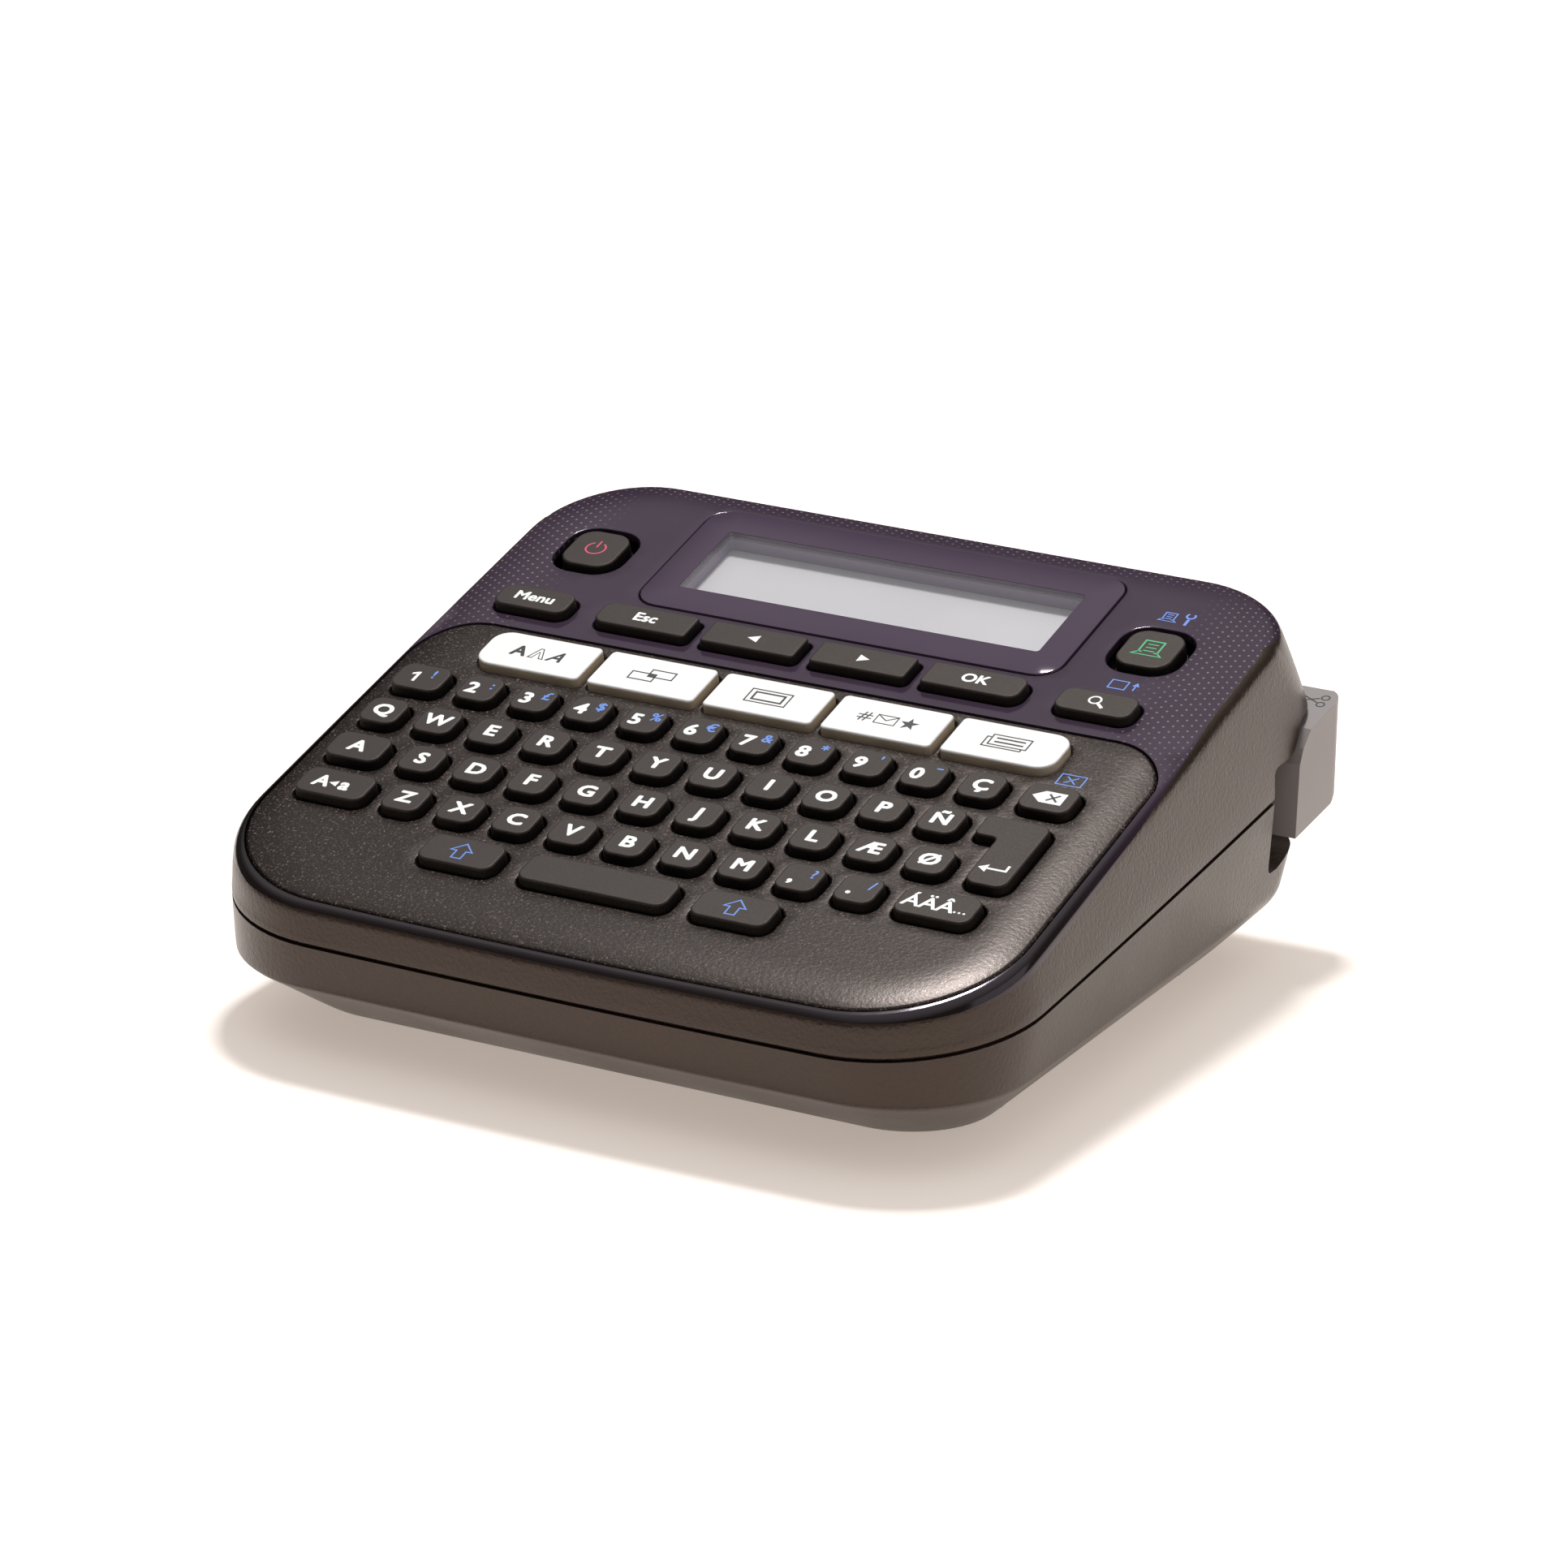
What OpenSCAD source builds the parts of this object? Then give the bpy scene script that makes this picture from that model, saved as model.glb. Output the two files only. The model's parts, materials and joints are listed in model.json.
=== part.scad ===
// Desktop tape label maker with a full keyboard, a display and a cutter lever.
// Origin: middle of the footprint, on the surface it stands on. +Y is the back, +X the right side.

/* [Body] */
// Half the width of the casings at the parting line
body_half = 78; // [76:0.5:80]
// Distance from the middle to the front edge
body_front = 73.1; // [72:0.1:74]
// Distance from the middle to the back edge
body_back = 74.5; // [74:0.5:76]
// How far the front edge bows outwards
front_bow = 1.4; // [0:0.1:2]
// Height of the rubber feet
foot_h = 2.2; // [1.5:0.1:3]
// Height of the crease round the lower casing above its flat underside
crease_h = 10.8; // [9:0.2:12]
// Thickness of the casing walls
wall = 2; // [1.6:0.1:2.4]

/* [Deck] */
// Slope of the keyboard deck
deck_slope = 14.7; // [14:0.1:15.4]
// Height of the deck plane above the middle of the footprint
deck_z = 49.4; // [48:0.2:51]
// Thickness of the keyboard plate and of the glossy panel
plate_t = 2.2; // [2:0.1:2.6]

/* [Keys] */
// Width of a letter key
key_w = 7.6; // [7:0.1:8]
// Depth of a letter key
key_d = 7.8; // [7:0.1:8]
// Distance between two keys in a row
key_pitch = 11.15; // [11:0.05:11.2]
// Distance between two rows
row_pitch = 11.87; // [11.5:0.01:12]
// Height of a key above the deck
key_rise = 1.7; // [1.4:0.1:2]
// Gap between a key and its well
key_gap = 0.7; // [0.5:0.1:0.9]
// How far a key can be pressed
key_travel = 1; // [0.6:0.1:1]

/* [Display] */
// Width of the tinted window
window_w = 85.4; // [84:0.2:87]
// Depth of the tinted window along the deck
window_d = 34.2; // [33:0.2:35]
// Depth of the display under the deck
display_sink = 3.7; // [3:0.1:4]

/* [Drive] */
// Size of a gear tooth (gear module)
tooth = 0.6; // [0.6:0.1:0.6]
// Teeth on the motor pinion
pinion_teeth = 12; // [12:1:12]
// Teeth on the idler gear
idler_teeth = 40; // [40:1:40]
// Teeth on the platen gear
platen_teeth = 20; // [20:1:20]
// Teeth on the ribbon gear
ribbon_teeth = 30; // [30:1:30]
// Radius of the rubber platen roller
platen_r = 4; // [3.5:0.1:4.2]

/* [Tape] */
// Width of the tape cassette
cassette_w = 77; // [76:0.5:78]
// Depth of the tape cassette
cassette_d = 47; // [46:0.5:48]
// Thickness of the tape cassette
cassette_h = 17; // [16:0.5:17]
// Diameter of an AAA cell
cell_dia = 10.5; // [10.3:0.1:10.5]
// Length of an AAA cell
cell_len = 44.5; // [43.5:0.5:44.5]

/* [Hidden] */

$fn = 48;
eps = 0.02;
clear = 0.3;
run_fit = 0.05;
far = 200;
deck_k = tan(deck_slope);

// One level of the body is [half width, front, back, front radius, back radius, bow,
// narrowing towards the back, height at the middle, rise per millimetre of depth].
part_z = 28.5;
part_k = 0.095;
levels = [
    [65.7, -55.3, 58, 16, 14, 0, 0, foot_h, 0],
    [76.3, -71.4, 67, 25, 16, 1, 0, foot_h + crease_h, 0],
    [body_half, -body_front, body_back, 28, 12.5, front_bow, 0, part_z - 0.4, part_k],
    [body_half - 0.1, 0.2 - body_front, body_back - 0.1, 28, 12.5, front_bow, 0.006, 33.4, 0.129],
    [77.4, -72.8, 67, 27, 18.5, 1.6, 0.025, deck_z - 3.4, deck_k],
    [76.9, -72.4, 65.8, 26.6, 19.5, 1.7, 0.025, deck_z - 0.9, deck_k],
    [75.4, -71.2, 63, 25.4, 20, 1.8, 0.025, deck_z, deck_k]];

// The line, seen from the side, where the glossy panel and its rim end and the casing starts
rim_line = [[-90, 24.8], [-40, 34.9], [48, 61.7], [90, 63]];
groove_w = 0.7;
groove_d = 0.6;

// Keyboard plate: [half width, front, back, front radius, back radius, bow, narrowing]
plate_half = 74.9;
plate_front = -71;
plate_back = 13.1;
plate_gap = 0.25;
plate_roll = 3.4;
plate_drop = 1.2;

// Rows of keys, along the deck, and the places and widths of the wide keys
row_s = [-8.7, -8.7 - row_pitch, -8.7 - 2 * row_pitch, -8.7 - 3 * row_pitch,
    -8.7 - 4 * row_pitch];
first_number_x = -53.1;
first_upper_x = -66.2;
first_home_x = -51.4;
first_lower_x = -47.8;
key_r = 2.2;
flange = 1.2;
flange_h = 0.9;
enter_left = 57;
enter_ear = 4.6;
enter_right = 64.8;
enter_step = 5.9;
white_s = 4.8;
white_w = 21.5;
white_d = 10.8;
white_pitch = 23.55;
white_gap = 0.45;
white_lip = 0.75;
white_rise = 1.6;
white_x = -48.7;
end_r = 3.5;
top_s = 21.6;
top_w = 19;
top_d = 6.8;
top_pitch = 22.2;
top_x = -35.6;
side_w = 14.8;
side_x = 56.6;
round_s = 42.1;
round_w = 10.6;
round_d = 11.6;
round_gap = 1.9;
round_rise = 0.6;

mat_h = -(plate_t + clear + flange_h + key_travel + 0.4);
mat_t = 1.2;
board_h = -9.2;
board_t = 1.6;
window_s = 45.6;
window_t = 1.5;
window_gap = 0.25;
window_proud = 0.2;
view_w = 73;
view_d = 20.2;

// Tape path and drive, seen from above
tape_x = 53.5;
bay_x = -24;
bay_y = 2;
cassette_z = 7;
gear_z = 25.2;
gear_t = 3.2;
bay_top = 29.6;
bay_t = 2;
idler_at = [40, 37.8];
platen_at = [tape_x + platen_r, 42];
ribbon_at = [19.2, 40.7];
pinion_at = [40, 37.8 - tooth * (pinion_teeth + idler_teeth) / 2];
shaft_r = 1.5;
roll_at = [-3, 25];
roll_r = 18;
ribbon_spool_at = [33, 17];
slot_w = 4.6;
slot_low = 6.5;
slot_high = 25;

// Cutter lever: its pivot and its outline seen from the side
lever_x = 79;
lever_inner = 65;
arm_t = 5;
pivot_y = 42;
pivot_z = 34;
pin_r = 2;
lever_side = [[56.4, 38], [55.8, 24.2], [70, 26.6], [71.6, 28], [74.6, 36.2], [74.6, 46],
    [74, 46.6], [60.4, 43.7], [57.6, 40.8]];
notch_side = [[48, 21], [48, 38.7], [56, 39.8], [58.6, 42.4], [60.4, 45.2], [90, 49.4],
    [90, 21.2], [60, 21.2], [52, 19.4], [49.6, 19.4]];
ledge_side = [[47, 17], [47, 18.8], [80, 18.8], [80, 17]];
notch_x = 64;
blade_y = 60;
blade_pivot = [46, 12];
blade_t = 1;
post_y = 53;

cover_x0 = -53;
cover_x1 = 57;
cover_y0 = -52;
cover_y1 = 50;
cover_r = 6;
cover_gap = 0.3;
floor_t = 2;
screw_at = [[-59.5, -43], [60.5, -43], [-30, 54.3], [20, 54.3]];
feet_at = [[-60.5, -31], [60.5, -31], [-60.5, 41], [60.5, 41]];
socket_x = -52;
socket_z = 20;
socket_r = 2.75;
cell_row = 11.5;
cell_y = -46;
cell_gap = 4;

casing_colour = [0.2, 0.17, 0.15];
gloss_colour = [0.1, 0.08, 0.11];
plate_colour = [0.17, 0.15, 0.15];
key_colour = [0.09, 0.09, 0.08];
white_colour = [0.95, 0.94, 0.9];
grey_colour = [0.66, 0.65, 0.66];

function arc(cx, cy, r, from, to) =
    [for (a = [from : 10 : to]) [cx + r * cos(a), cy + r * sin(a)]];

// Rounded outline that bows at the front and may narrow towards the back
function outline(half, front, back, rf, rb, bow, narrow) =
    [for (p = concat(
            [for (i = [-3 : 3]) [(half - rf) * i / 3.5, front]],
            arc(half - rf, front + rf, rf, -90, 0),
            arc(half - rb, back - rb, rb, 0, 90),
            arc(rb - half, back - rb, rb, 90, 180),
            arc(rf - half, front + rf, rf, 180, 270)))
        let (mid = (front + back) / 2, reach = (back - front) / 2)
        [p.x * (1 - narrow * max(0, p.y - front) / (back - front)),
            p.y - bow * (1 - pow(p.x / half, 2)) * max(0, (mid - p.y) / reach)]];

function level_points(v, inset, drop) =
    [for (p = outline(v[0] - inset, v[1] + inset, v[2] - inset, v[3] - inset, v[4] - inset,
            v[5], v[6]))
        [p.x, p.y, v[7] - drop + v[8] * p.y]];

// The outer form of the body, or the hollow inside it, as one closed loft
module body_form(inset = 0, floor_rise = 0, roof_drop = 0) {
    last = len(levels) - 1;
    rings = [for (i = [0 : last])
        level_points(levels[i], inset, i == 0 ? -floor_rise : i > 2 ? roof_drop : 0)];
    n = len(rings[0]);
    low = (last + 1) * n;
    polyhedron(
        points = concat([for (ring = rings) each ring],
            [[0, 0, levels[0][7] + floor_rise], [0, 0, levels[last][7] - roof_drop]]),
        faces = concat(
            [for (i = [0 : n - 1]) [low, i, (i + 1) % n]],
            [for (r = [0 : last - 1]) for (i = [0 : n - 1])
                [r * n + i, (r + 1) * n + i, r * n + (i + 1) % n]],
            [for (r = [0 : last - 1]) for (i = [0 : n - 1])
                [r * n + (i + 1) % n, (r + 1) * n + i, (r + 1) * n + (i + 1) % n]],
            [for (i = [0 : n - 1]) [low + 1, last * n + (i + 1) % n, last * n + i]]));
}

// A shape drawn in the side view (Y, Z), run through the body along X
module side_cut(points, x0 = -far, x1 = far) {
    translate([x0, 0, 0])
        rotate([90, 0, 90])
            linear_extrude(x1 - x0)
                polygon(points);
}

module above_rim() side_cut(concat(rim_line, [[90, far], [-90, far]]));

// Everything between two heights above the parting line
module parting_slab(low, high)
    side_cut([[-90, part_z - 90 * part_k + low], [90, part_z + 90 * part_k + low],
        [90, part_z + 90 * part_k + high], [-90, part_z - 90 * part_k + high]]);

module on_deck(h = 0) translate([0, 0, deck_z]) rotate([deck_slope, 0, 0]) translate([0, 0, h])
    children();

module rounded(w, d, r, x = 0, s = 0)
    translate([x, s]) offset(r, $fn = 16) square([w - 2 * r, d - 2 * r], center = true);

module block(w, d, h, r, x = 0, s = 0, z = 0)
    translate([0, 0, z]) linear_extrude(h) rounded(w, d, r, x, s);

// A key, or a sheet of keys: the caps, and the flange that holds each one under the plate.
// A place on the deck is [x, distance along the deck, width, depth, corner radius].
module keys(places, rise = key_rise, lip = flange) on_deck(-plate_t - clear) {
    linear_extrude(rise + plate_t + clear)
        for (p = places) rounded(p[2], p[3], p[4], p[0], p[1]);
    translate([0, 0, -flange_h]) linear_extrude(flange_h)
        for (p = places) rounded(p[2] + 2 * lip, p[3] + 2 * lip, p[4] + lip, p[0], p[1]);
}

// The openings for those keys, as flat shapes on the deck
module wells(places, gap = key_gap)
    for (p = places) rounded(p[2] + 2 * gap, p[3] + 2 * gap, p[4] + gap, p[0], p[1]);

module through_plate() on_deck(-plate_t - 1) linear_extrude(plate_t + 4) children();

module enter_shape(grow) offset(key_r / 2 + grow, $fn = 16) offset(-key_r / 2) union() {
    top = row_s[1] + key_d / 2;
    low = row_s[2] - key_d / 2;
    translate([enter_left, low]) square([enter_right - enter_left, top - low]);
    translate([enter_left - enter_ear, top - enter_step]) square([enter_ear + eps, enter_step]);
}

function row_key(x, row, w = key_w) = [x, row_s[row], w, key_d, key_r];
function row_keys(first_x, row, count) =
    [for (i = [0 : count - 1]) row_key(first_x + i * key_pitch, row)];

number_places = concat([row_key(-65.3, 0, 9.9)], row_keys(first_number_x, 0, 10));
upper_places = row_keys(first_upper_x, 1, 11);
home_places = concat([row_key(-64.5, 2, 10.9)], row_keys(first_home_x, 2, 10));
lower_places = row_keys(first_lower_x, 3, 9);
delete_place = row_key(60.1, 0, 9.8);
caps_place = row_key(-62.2, 3, 13.9);
accent_place = row_key(56.4, 3, 14.5);
left_shift_place = row_key(-29.7, 4, 14.8);
space_place = row_key(-2.6, 4, 29);
right_shift_place = row_key(23.9, 4, 14.8);
plate_places = concat(number_places, upper_places, home_places, lower_places,
    [delete_place, caps_place, accent_place, left_shift_place, space_place,
        right_shift_place]);
white_places = [for (i = [0 : 4]) [white_x + i * white_pitch, white_s, white_w, white_d, 1]];
top_places = [for (i = [0 : 3]) [top_x + i * top_pitch, top_s, top_w, top_d, key_r]];
menu_place = [-side_x - 2.1, top_s, side_w, top_d, key_r];
preview_place = [side_x - 1.8, top_s, side_w, top_d, key_r];
power_place = [-side_x - 0.8, round_s, round_w, round_d, 3.4];
print_place = [side_x - 1, round_s, round_w, round_d, 3.4];

module plate_prism(grow, low, high) {
    multmatrix([[1, 0, 0, 0], [0, 1, 0, 0], [0, deck_k, 1, deck_z + low]])
        linear_extrude(high - low)
            polygon(outline(plate_half + grow, plate_front - grow, plate_back + grow,
                25.3 + grow, 12.3 + grow, 1.8, 0.005));
}

// The upper casing is a ring of walls: the panel and the keyboard plate are its roof
module upper_casing() color(casing_colour) difference() {
    body_form();
    body_form(inset = wall, floor_rise = wall, roof_drop = -wall);
    above_rim();
    plate_prism(plate_gap, -plate_t - clear, 20);
    parting_slab(-far, 0);
    side_cut(notch_side, notch_x, far);
    translate([tape_x - slot_w / 2, 60, slot_low]) cube([slot_w, 30, slot_high - slot_low]);
    // shallow groove along the parting line
    difference() {
        parting_slab(-1, groove_w);
        body_form(inset = groove_d);
    }
}

module top_panel() color(gloss_colour) difference() {
    intersection() {
        body_form();
        above_rim();
    }
    body_form(inset = 1.3, roof_drop = plate_t);
    plate_prism(plate_gap, -20, 20);
    through_plate() {
        rounded(window_w + 2 * window_gap, window_d + 2 * window_gap, 5, 0, window_s);
        wells(concat(top_places, [menu_place, preview_place]));
        wells([power_place, print_place], round_gap);
    }
}

module keyboard_plate() color(plate_colour) difference() {
    hull() {
        plate_prism(0, -plate_t, -plate_drop);
        plate_prism(-plate_roll / 3, -plate_t, -plate_drop / 3);
        plate_prism(-plate_roll, -plate_t, 0);
    }
    through_plate() {
        wells(plate_places);
        wells(white_places, white_gap);
        enter_shape(key_gap);
    }
}

module display_window() color([0.25, 0.2, 0.32, 0.6])
    on_deck(window_proud - window_t) block(window_w, window_d, window_t, 4.8, 0, window_s);

module display_panel() color([0.8, 0.8, 0.8])
    on_deck(-display_sink - 1.2) block(view_w + 8, view_d + 6, 1.2, 0.6, 0, window_s);

module display_frame() color("dimgray") on_deck() difference() {
    block(view_w + 11, view_d + 9, display_sink + 3.4 - window_t, 1.5, 0, window_s,
        -display_sink - 3.2);
    block(view_w, view_d, 20, 0.5, 0, window_s, -display_sink - 1);
    block(view_w + 8 + 2 * run_fit, view_d + 6 + 2 * run_fit, 1.2 + 2 * run_fit, 0.6, 0,
        window_s, -display_sink - 1.2 - run_fit);
}

module cover_outline(grow) translate([(cover_x0 + cover_x1) / 2, (cover_y0 + cover_y1) / 2])
    rounded(cover_x1 - cover_x0 + 2 * grow, cover_y1 - cover_y0 + 2 * grow, cover_r);

module lower_casing() color(casing_colour) difference() {
    union() {
        difference() {
            body_form();
            body_form(inset = wall, floor_rise = floor_t, roof_drop = wall);
            parting_slab(0, far);
        }
        // bosses for the casing screws
        for (p = screw_at)
            intersection() {
                body_form(inset = wall / 2);
                translate([p.x, p.y, foot_h + eps]) cylinder(r = 4, h = 15);
            }
        // ledge that closes the bottom of the lever's notch
        intersection() {
            body_form(inset = wall / 2);
            side_cut(ledge_side, notch_x - wall, far);
        }
    }
    side_cut(notch_side, notch_x, far);
    translate([0, 0, -1]) linear_extrude(20) cover_outline(cover_gap);
    translate([tape_x - slot_w / 2, 60, slot_low]) cube([slot_w, 30, slot_high - slot_low]);
    translate([socket_x, 30, socket_z]) rotate([-90, 0, 0]) cylinder(r = 4.3, h = 60);
    for (p = screw_at) {
        translate([p.x, p.y, -1]) cylinder(r = 2.7, h = 12);
        translate([p.x, p.y, 1]) cylinder(r = 1.3, h = 40);
    }
}

module rubber_feet() color("black")
    for (p = feet_at)
        translate([p.x, p.y, 0]) rotate_extrude() polygon([[0, 0], [2.9, 0], [3.4, 0.5],
            [3.4, foot_h], [0, foot_h]]);

module casing_screws() color("silver")
    for (p = screw_at) translate([p.x, p.y, 11 - run_fit]) {
        mirror([0, 0, 1]) cylinder(r = 2.4, h = 1.8);
        cylinder(r = 1.2, h = 10);
    }

module key_mat() color("dimgray") on_deck(mat_h - mat_t) difference() {
    block(134, 112, mat_t, 20, 0, -9);
    block(view_w + 12, view_d + 10, 9, 1, 0, window_s, -2);
}

module main_board() color("darkgreen") on_deck(board_h - board_t) {
    block(132, 110, board_t, 20, 0, -9);
    for (x = [-42, -10, 20]) block(12, 12, 1.8, 0.5, x, -22, -1.8);
    for (x = [-50, 50]) translate([x, -50, -3]) cylinder(r = 3, h = 3);
}

// The two end keys of the white row have a large radius at their outer end
module function_key(i) color(white_colour) difference() {
    keys([white_places[i]], white_rise, white_lip);
    side = i == 0 ? -1 : i == 4 ? 1 : 0;
    if (side != 0)
        on_deck(-plate_t - clear + eps) for (s = [-1, 1])
            translate([white_places[i].x + side * white_w / 2, white_s + s * white_d / 2, 0])
                difference() {
                    cube([2 * end_r, 2 * end_r, 20], center = true);
                    translate([-side * end_r, -s * end_r, -20]) cylinder(r = end_r, h = 40);
                }
}

module rubber_keys(places, rise = key_rise) color(key_colour) keys(places, rise);

module enter_key() color(key_colour) on_deck() {
    translate([0, 0, -plate_t - clear]) linear_extrude(key_rise + plate_t + clear)
        enter_shape(0);
    translate([0, 0, -plate_t - clear - flange_h]) linear_extrude(flange_h)
        enter_shape(flange);
}

// Outline of a gear with straight-sided teeth that thin out towards their tips
function gear_points(teeth) = [for (i = [0 : teeth - 1])
    for (p = [[-0.27, -1.25], [-0.2, 0], [-0.09, 0.9], [0.09, 0.9], [0.2, 0], [0.27, -1.25]])
        let (a = (i + p.x) * 360 / teeth, r = tooth * (teeth / 2 + p.y))
        [r * cos(a), r * sin(a)]];

module gear(at, teeth, turn, bore, z = gear_z, h = gear_t)
    translate([at.x, at.y, z]) difference() {
        rotate(turn) linear_extrude(h) polygon(gear_points(teeth));
        translate([0, 0, -1]) cylinder(r = bore, h = h + 2);
    }

function heading(from, to) = atan2(to.y - from.y, to.x - from.x);

// Turn of a gear whose gaps meet the teeth of the idler gear
function mesh_turn(at, teeth) =
    let (phi = heading(idler_at, at), pitch = 360 / idler_teeth)
    phi + 180 + (phi - pitch * floor(phi / pitch)) * idler_teeth / teeth - 180 / teeth;

module shaft(at, z0, z1, r = shaft_r) translate([at.x, at.y, z0]) cylinder(r = r, h = z1 - z0);

bay_x1 = bay_x + cassette_w;
bay_y1 = bay_y + cassette_d;
head_x = 40;
head_y = 35;

// Frame over the cassette, with its side walls, its shaft bores and the lever bracket
module tape_bay() color("gray") difference() {
    union() {
        translate([bay_x - 3, bay_y - 3, bay_top]) cube([tape_x + 9 - bay_x, 60, bay_t]);
        translate([bay_x - 3, bay_y - 3, 6]) cube([2, 52, bay_top - 6 + eps]);
        translate([bay_x - 3, bay_y - 3, 6]) cube([cassette_w + 4, 2, bay_top - 6 + eps]);
        translate([bay_x - 3, bay_y1 + 1, 6]) cube([44, 2, bay_top - 6 + eps]);
        translate([42.5, post_y, 9]) cube([9, 6, bay_top - 9 + eps]);
        translate([tape_x + 5, pivot_y - 4, bay_top]) cube([6, 8, 9]);
    }
    for (at = [idler_at, platen_at, ribbon_at])
        shaft(at, bay_top - 1, bay_top + bay_t + 1, shaft_r + run_fit);
    shaft(pinion_at, bay_top - 1, bay_top + bay_t + 1, 3);
    across(50, pivot_y, pivot_z, pin_r + run_fit, 20);
    translate([blade_pivot.x, post_y + 10, blade_pivot.y]) rotate([90, 0, 0])
        cylinder(r = 1.5 + run_fit, h = 12);
}

module print_head() color("silver")
    translate([tape_x - 0.3 - 1.2, platen_at.y - 5, cassette_z + 0.5]) cube([1.2, 10, 16]);

module heat_sink() color("darkgray") difference() {
    translate([head_x + 4.5, platen_at.y - 5, cassette_z + 0.5])
        cube([tape_x - 1.5 - head_x - 4.5, 15, 16]);
    for (z = [cassette_z + 3 : 3 : cassette_z + 15])
        translate([head_x, platen_at.y - 6, z]) cube([6.5, 10, 1.2]);
}

module feed_motor() color("silver") {
    translate([pinion_at.x, pinion_at.y, bay_top + bay_t]) cylinder(r = 8, h = 8.4);
    shaft(pinion_at, bay_top + bay_t - 0.4, bay_top + bay_t + 2, 2.6);
    shaft(pinion_at, gear_z - 0.5, bay_top + bay_t + 2, 0.75);
}

module motor_pinion() color("goldenrod")
    gear(pinion_at, pinion_teeth, mesh_turn(pinion_at, pinion_teeth), 0.75 + run_fit);

module idler_gear() color("ivory") {
    gear(idler_at, idler_teeth, 0, shaft_r - eps);
    shaft(idler_at, gear_z, bay_top + bay_t + 0.6);
}

module platen_gear() color("ivory")
    gear(platen_at, platen_teeth, mesh_turn(platen_at, platen_teeth), shaft_r);

module platen_roller() color("black") {
    shaft(platen_at, 5.5, bay_top + bay_t + 0.6);
    shaft(platen_at, cassette_z + 0.4, cassette_z + 16.4, platen_r);
}

module ribbon_drive() color("ivory") {
    gear(ribbon_at, ribbon_teeth, mesh_turn(ribbon_at, ribbon_teeth), shaft_r - eps);
    shaft(ribbon_at, cassette_z + 1, bay_top + bay_t + 0.6);
}

module cassette_shell() color("whitesmoke") difference() {
    translate([bay_x, bay_y, cassette_z]) cube([cassette_w, cassette_d, cassette_h]);
    translate([bay_x + 1.5, bay_y + 1.5, cassette_z + 1.5])
        cube([head_x - bay_x - 3, cassette_d - 3, cassette_h - 3]);
    translate([head_x - 2, bay_y + 1.5, cassette_z + 1.5])
        cube([bay_x1 - head_x + 0.5, head_y - bay_y - 3, cassette_h - 3]);
    translate([head_x, head_y, cassette_z - 1]) cube([30, 30, cassette_h + 2]);
    for (at = [roll_at, ribbon_spool_at, ribbon_at])
        shaft(at, cassette_z - 1, cassette_z + cassette_h + 1, 2.6 + run_fit);
}

// A spool between the walls of the cassette, carried by its hubs in both walls
module spool(at, r, hub_bore = 0) difference() {
    union() {
        shaft(at, cassette_z + 0.3, cassette_z + cassette_h - 0.3, 2.6);
        shaft(at, cassette_z + 2, cassette_z + cassette_h - 2, r);
    }
    if (hub_bore > 0) shaft(at, cassette_z - 1, cassette_z + cassette_h + 1, hub_bore);
}

module tape_roll() color("white") spool(roll_at, roll_r);

module ribbon_spool() color("black") spool(ribbon_spool_at, 8);

module takeup_spool() color("black") spool(ribbon_at, 5.5, shaft_r + 0.1);

// Lever: the outer block fills the corner of the casings, the arm reaches in to the pivot
module cutter_lever() color(grey_colour) difference() {
    union() {
        intersection() {
            side_cut(lever_side, lever_inner, lever_x);
            translate([lever_inner, 40, 0]) linear_extrude(60)
                polygon(concat([[0, 34.6], [0, 0], [12.9, 0]],
                    [for (a = [0 : 15 : 90]) [10 + 4 * cos(a), 30.6 + 4 * sin(a)]]));
        }
        side_cut([[pivot_y, 30], [58, 26], [58, 38], [pivot_y, 38]], lever_inner,
            lever_inner + arm_t);
        across(lever_inner, pivot_y, pivot_z, 4, arm_t);
    }
    across(lever_inner - 1, pivot_y, pivot_z, pin_r + run_fit, 20);
}

// A round bar along X
module across(x, y, z, r, length) translate([x, y, z]) rotate([0, 90, 0])
    cylinder(r = r, h = length);

module lever_pin() color("silver") across(lever_inner - 5, pivot_y, pivot_z, pin_r, 13.5);

module lever_spring() color("silver")
    translate([lever_inner + arm_t + 1, pivot_y, pivot_z]) rotate([0, 90, 0]) rotate_extrude()
        translate([pin_r + 0.9, 0]) circle(0.5, $fn = 16);

module cutter_blade() color("silver") difference() {
    translate([0, blade_y + blade_t, 0]) rotate([90, 0, 0]) linear_extrude(blade_t)
        polygon([[42.5, 9.8], [47.5, 9.8], [50.6, 12.8], [50.6, 26], [44, 26], [42.5, 15]]);
    translate([blade_pivot.x, blade_y + 5, blade_pivot.y]) rotate([90, 0, 0])
        cylinder(r = 1.5 + run_fit, h = 10);
}

module blade_pin() color("silver")
    translate([blade_pivot.x, blade_y + blade_t + 0.4, blade_pivot.y]) rotate([90, 0, 0])
        cylinder(r = 1.5, h = 8);

module battery_cells() color("firebrick")
    for (side = [-1, 1]) for (i = [0 : 2])
        translate([side * cell_gap + (side < 0 ? -cell_len : 0), cell_y + i * cell_row,
            foot_h + floor_t + 1 + cell_dia / 2]) rotate([0, 90, 0]) {
            cylinder(r = cell_dia / 2, h = cell_len - 1);
            cylinder(r = 1.9, h = cell_len);
        }

// Roof and walls round the two rows of three cells, open at the underside
module battery_tray() color(casing_colour) difference() {
    half = cell_len + cell_gap + 3.2;
    low = cell_y - cell_row / 2 - 0.2;
    depth = 3 * cell_row + 0.4;
    translate([-half, low - 1.2, 5]) cube([2 * half, depth + 2.4, cell_dia + 2.4]);
    for (x = [-half + 1.2, cell_gap - 2])
        translate([x, low, 4]) cube([half - 1.2 - cell_gap + 2, depth, cell_dia + 2]);
}

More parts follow.
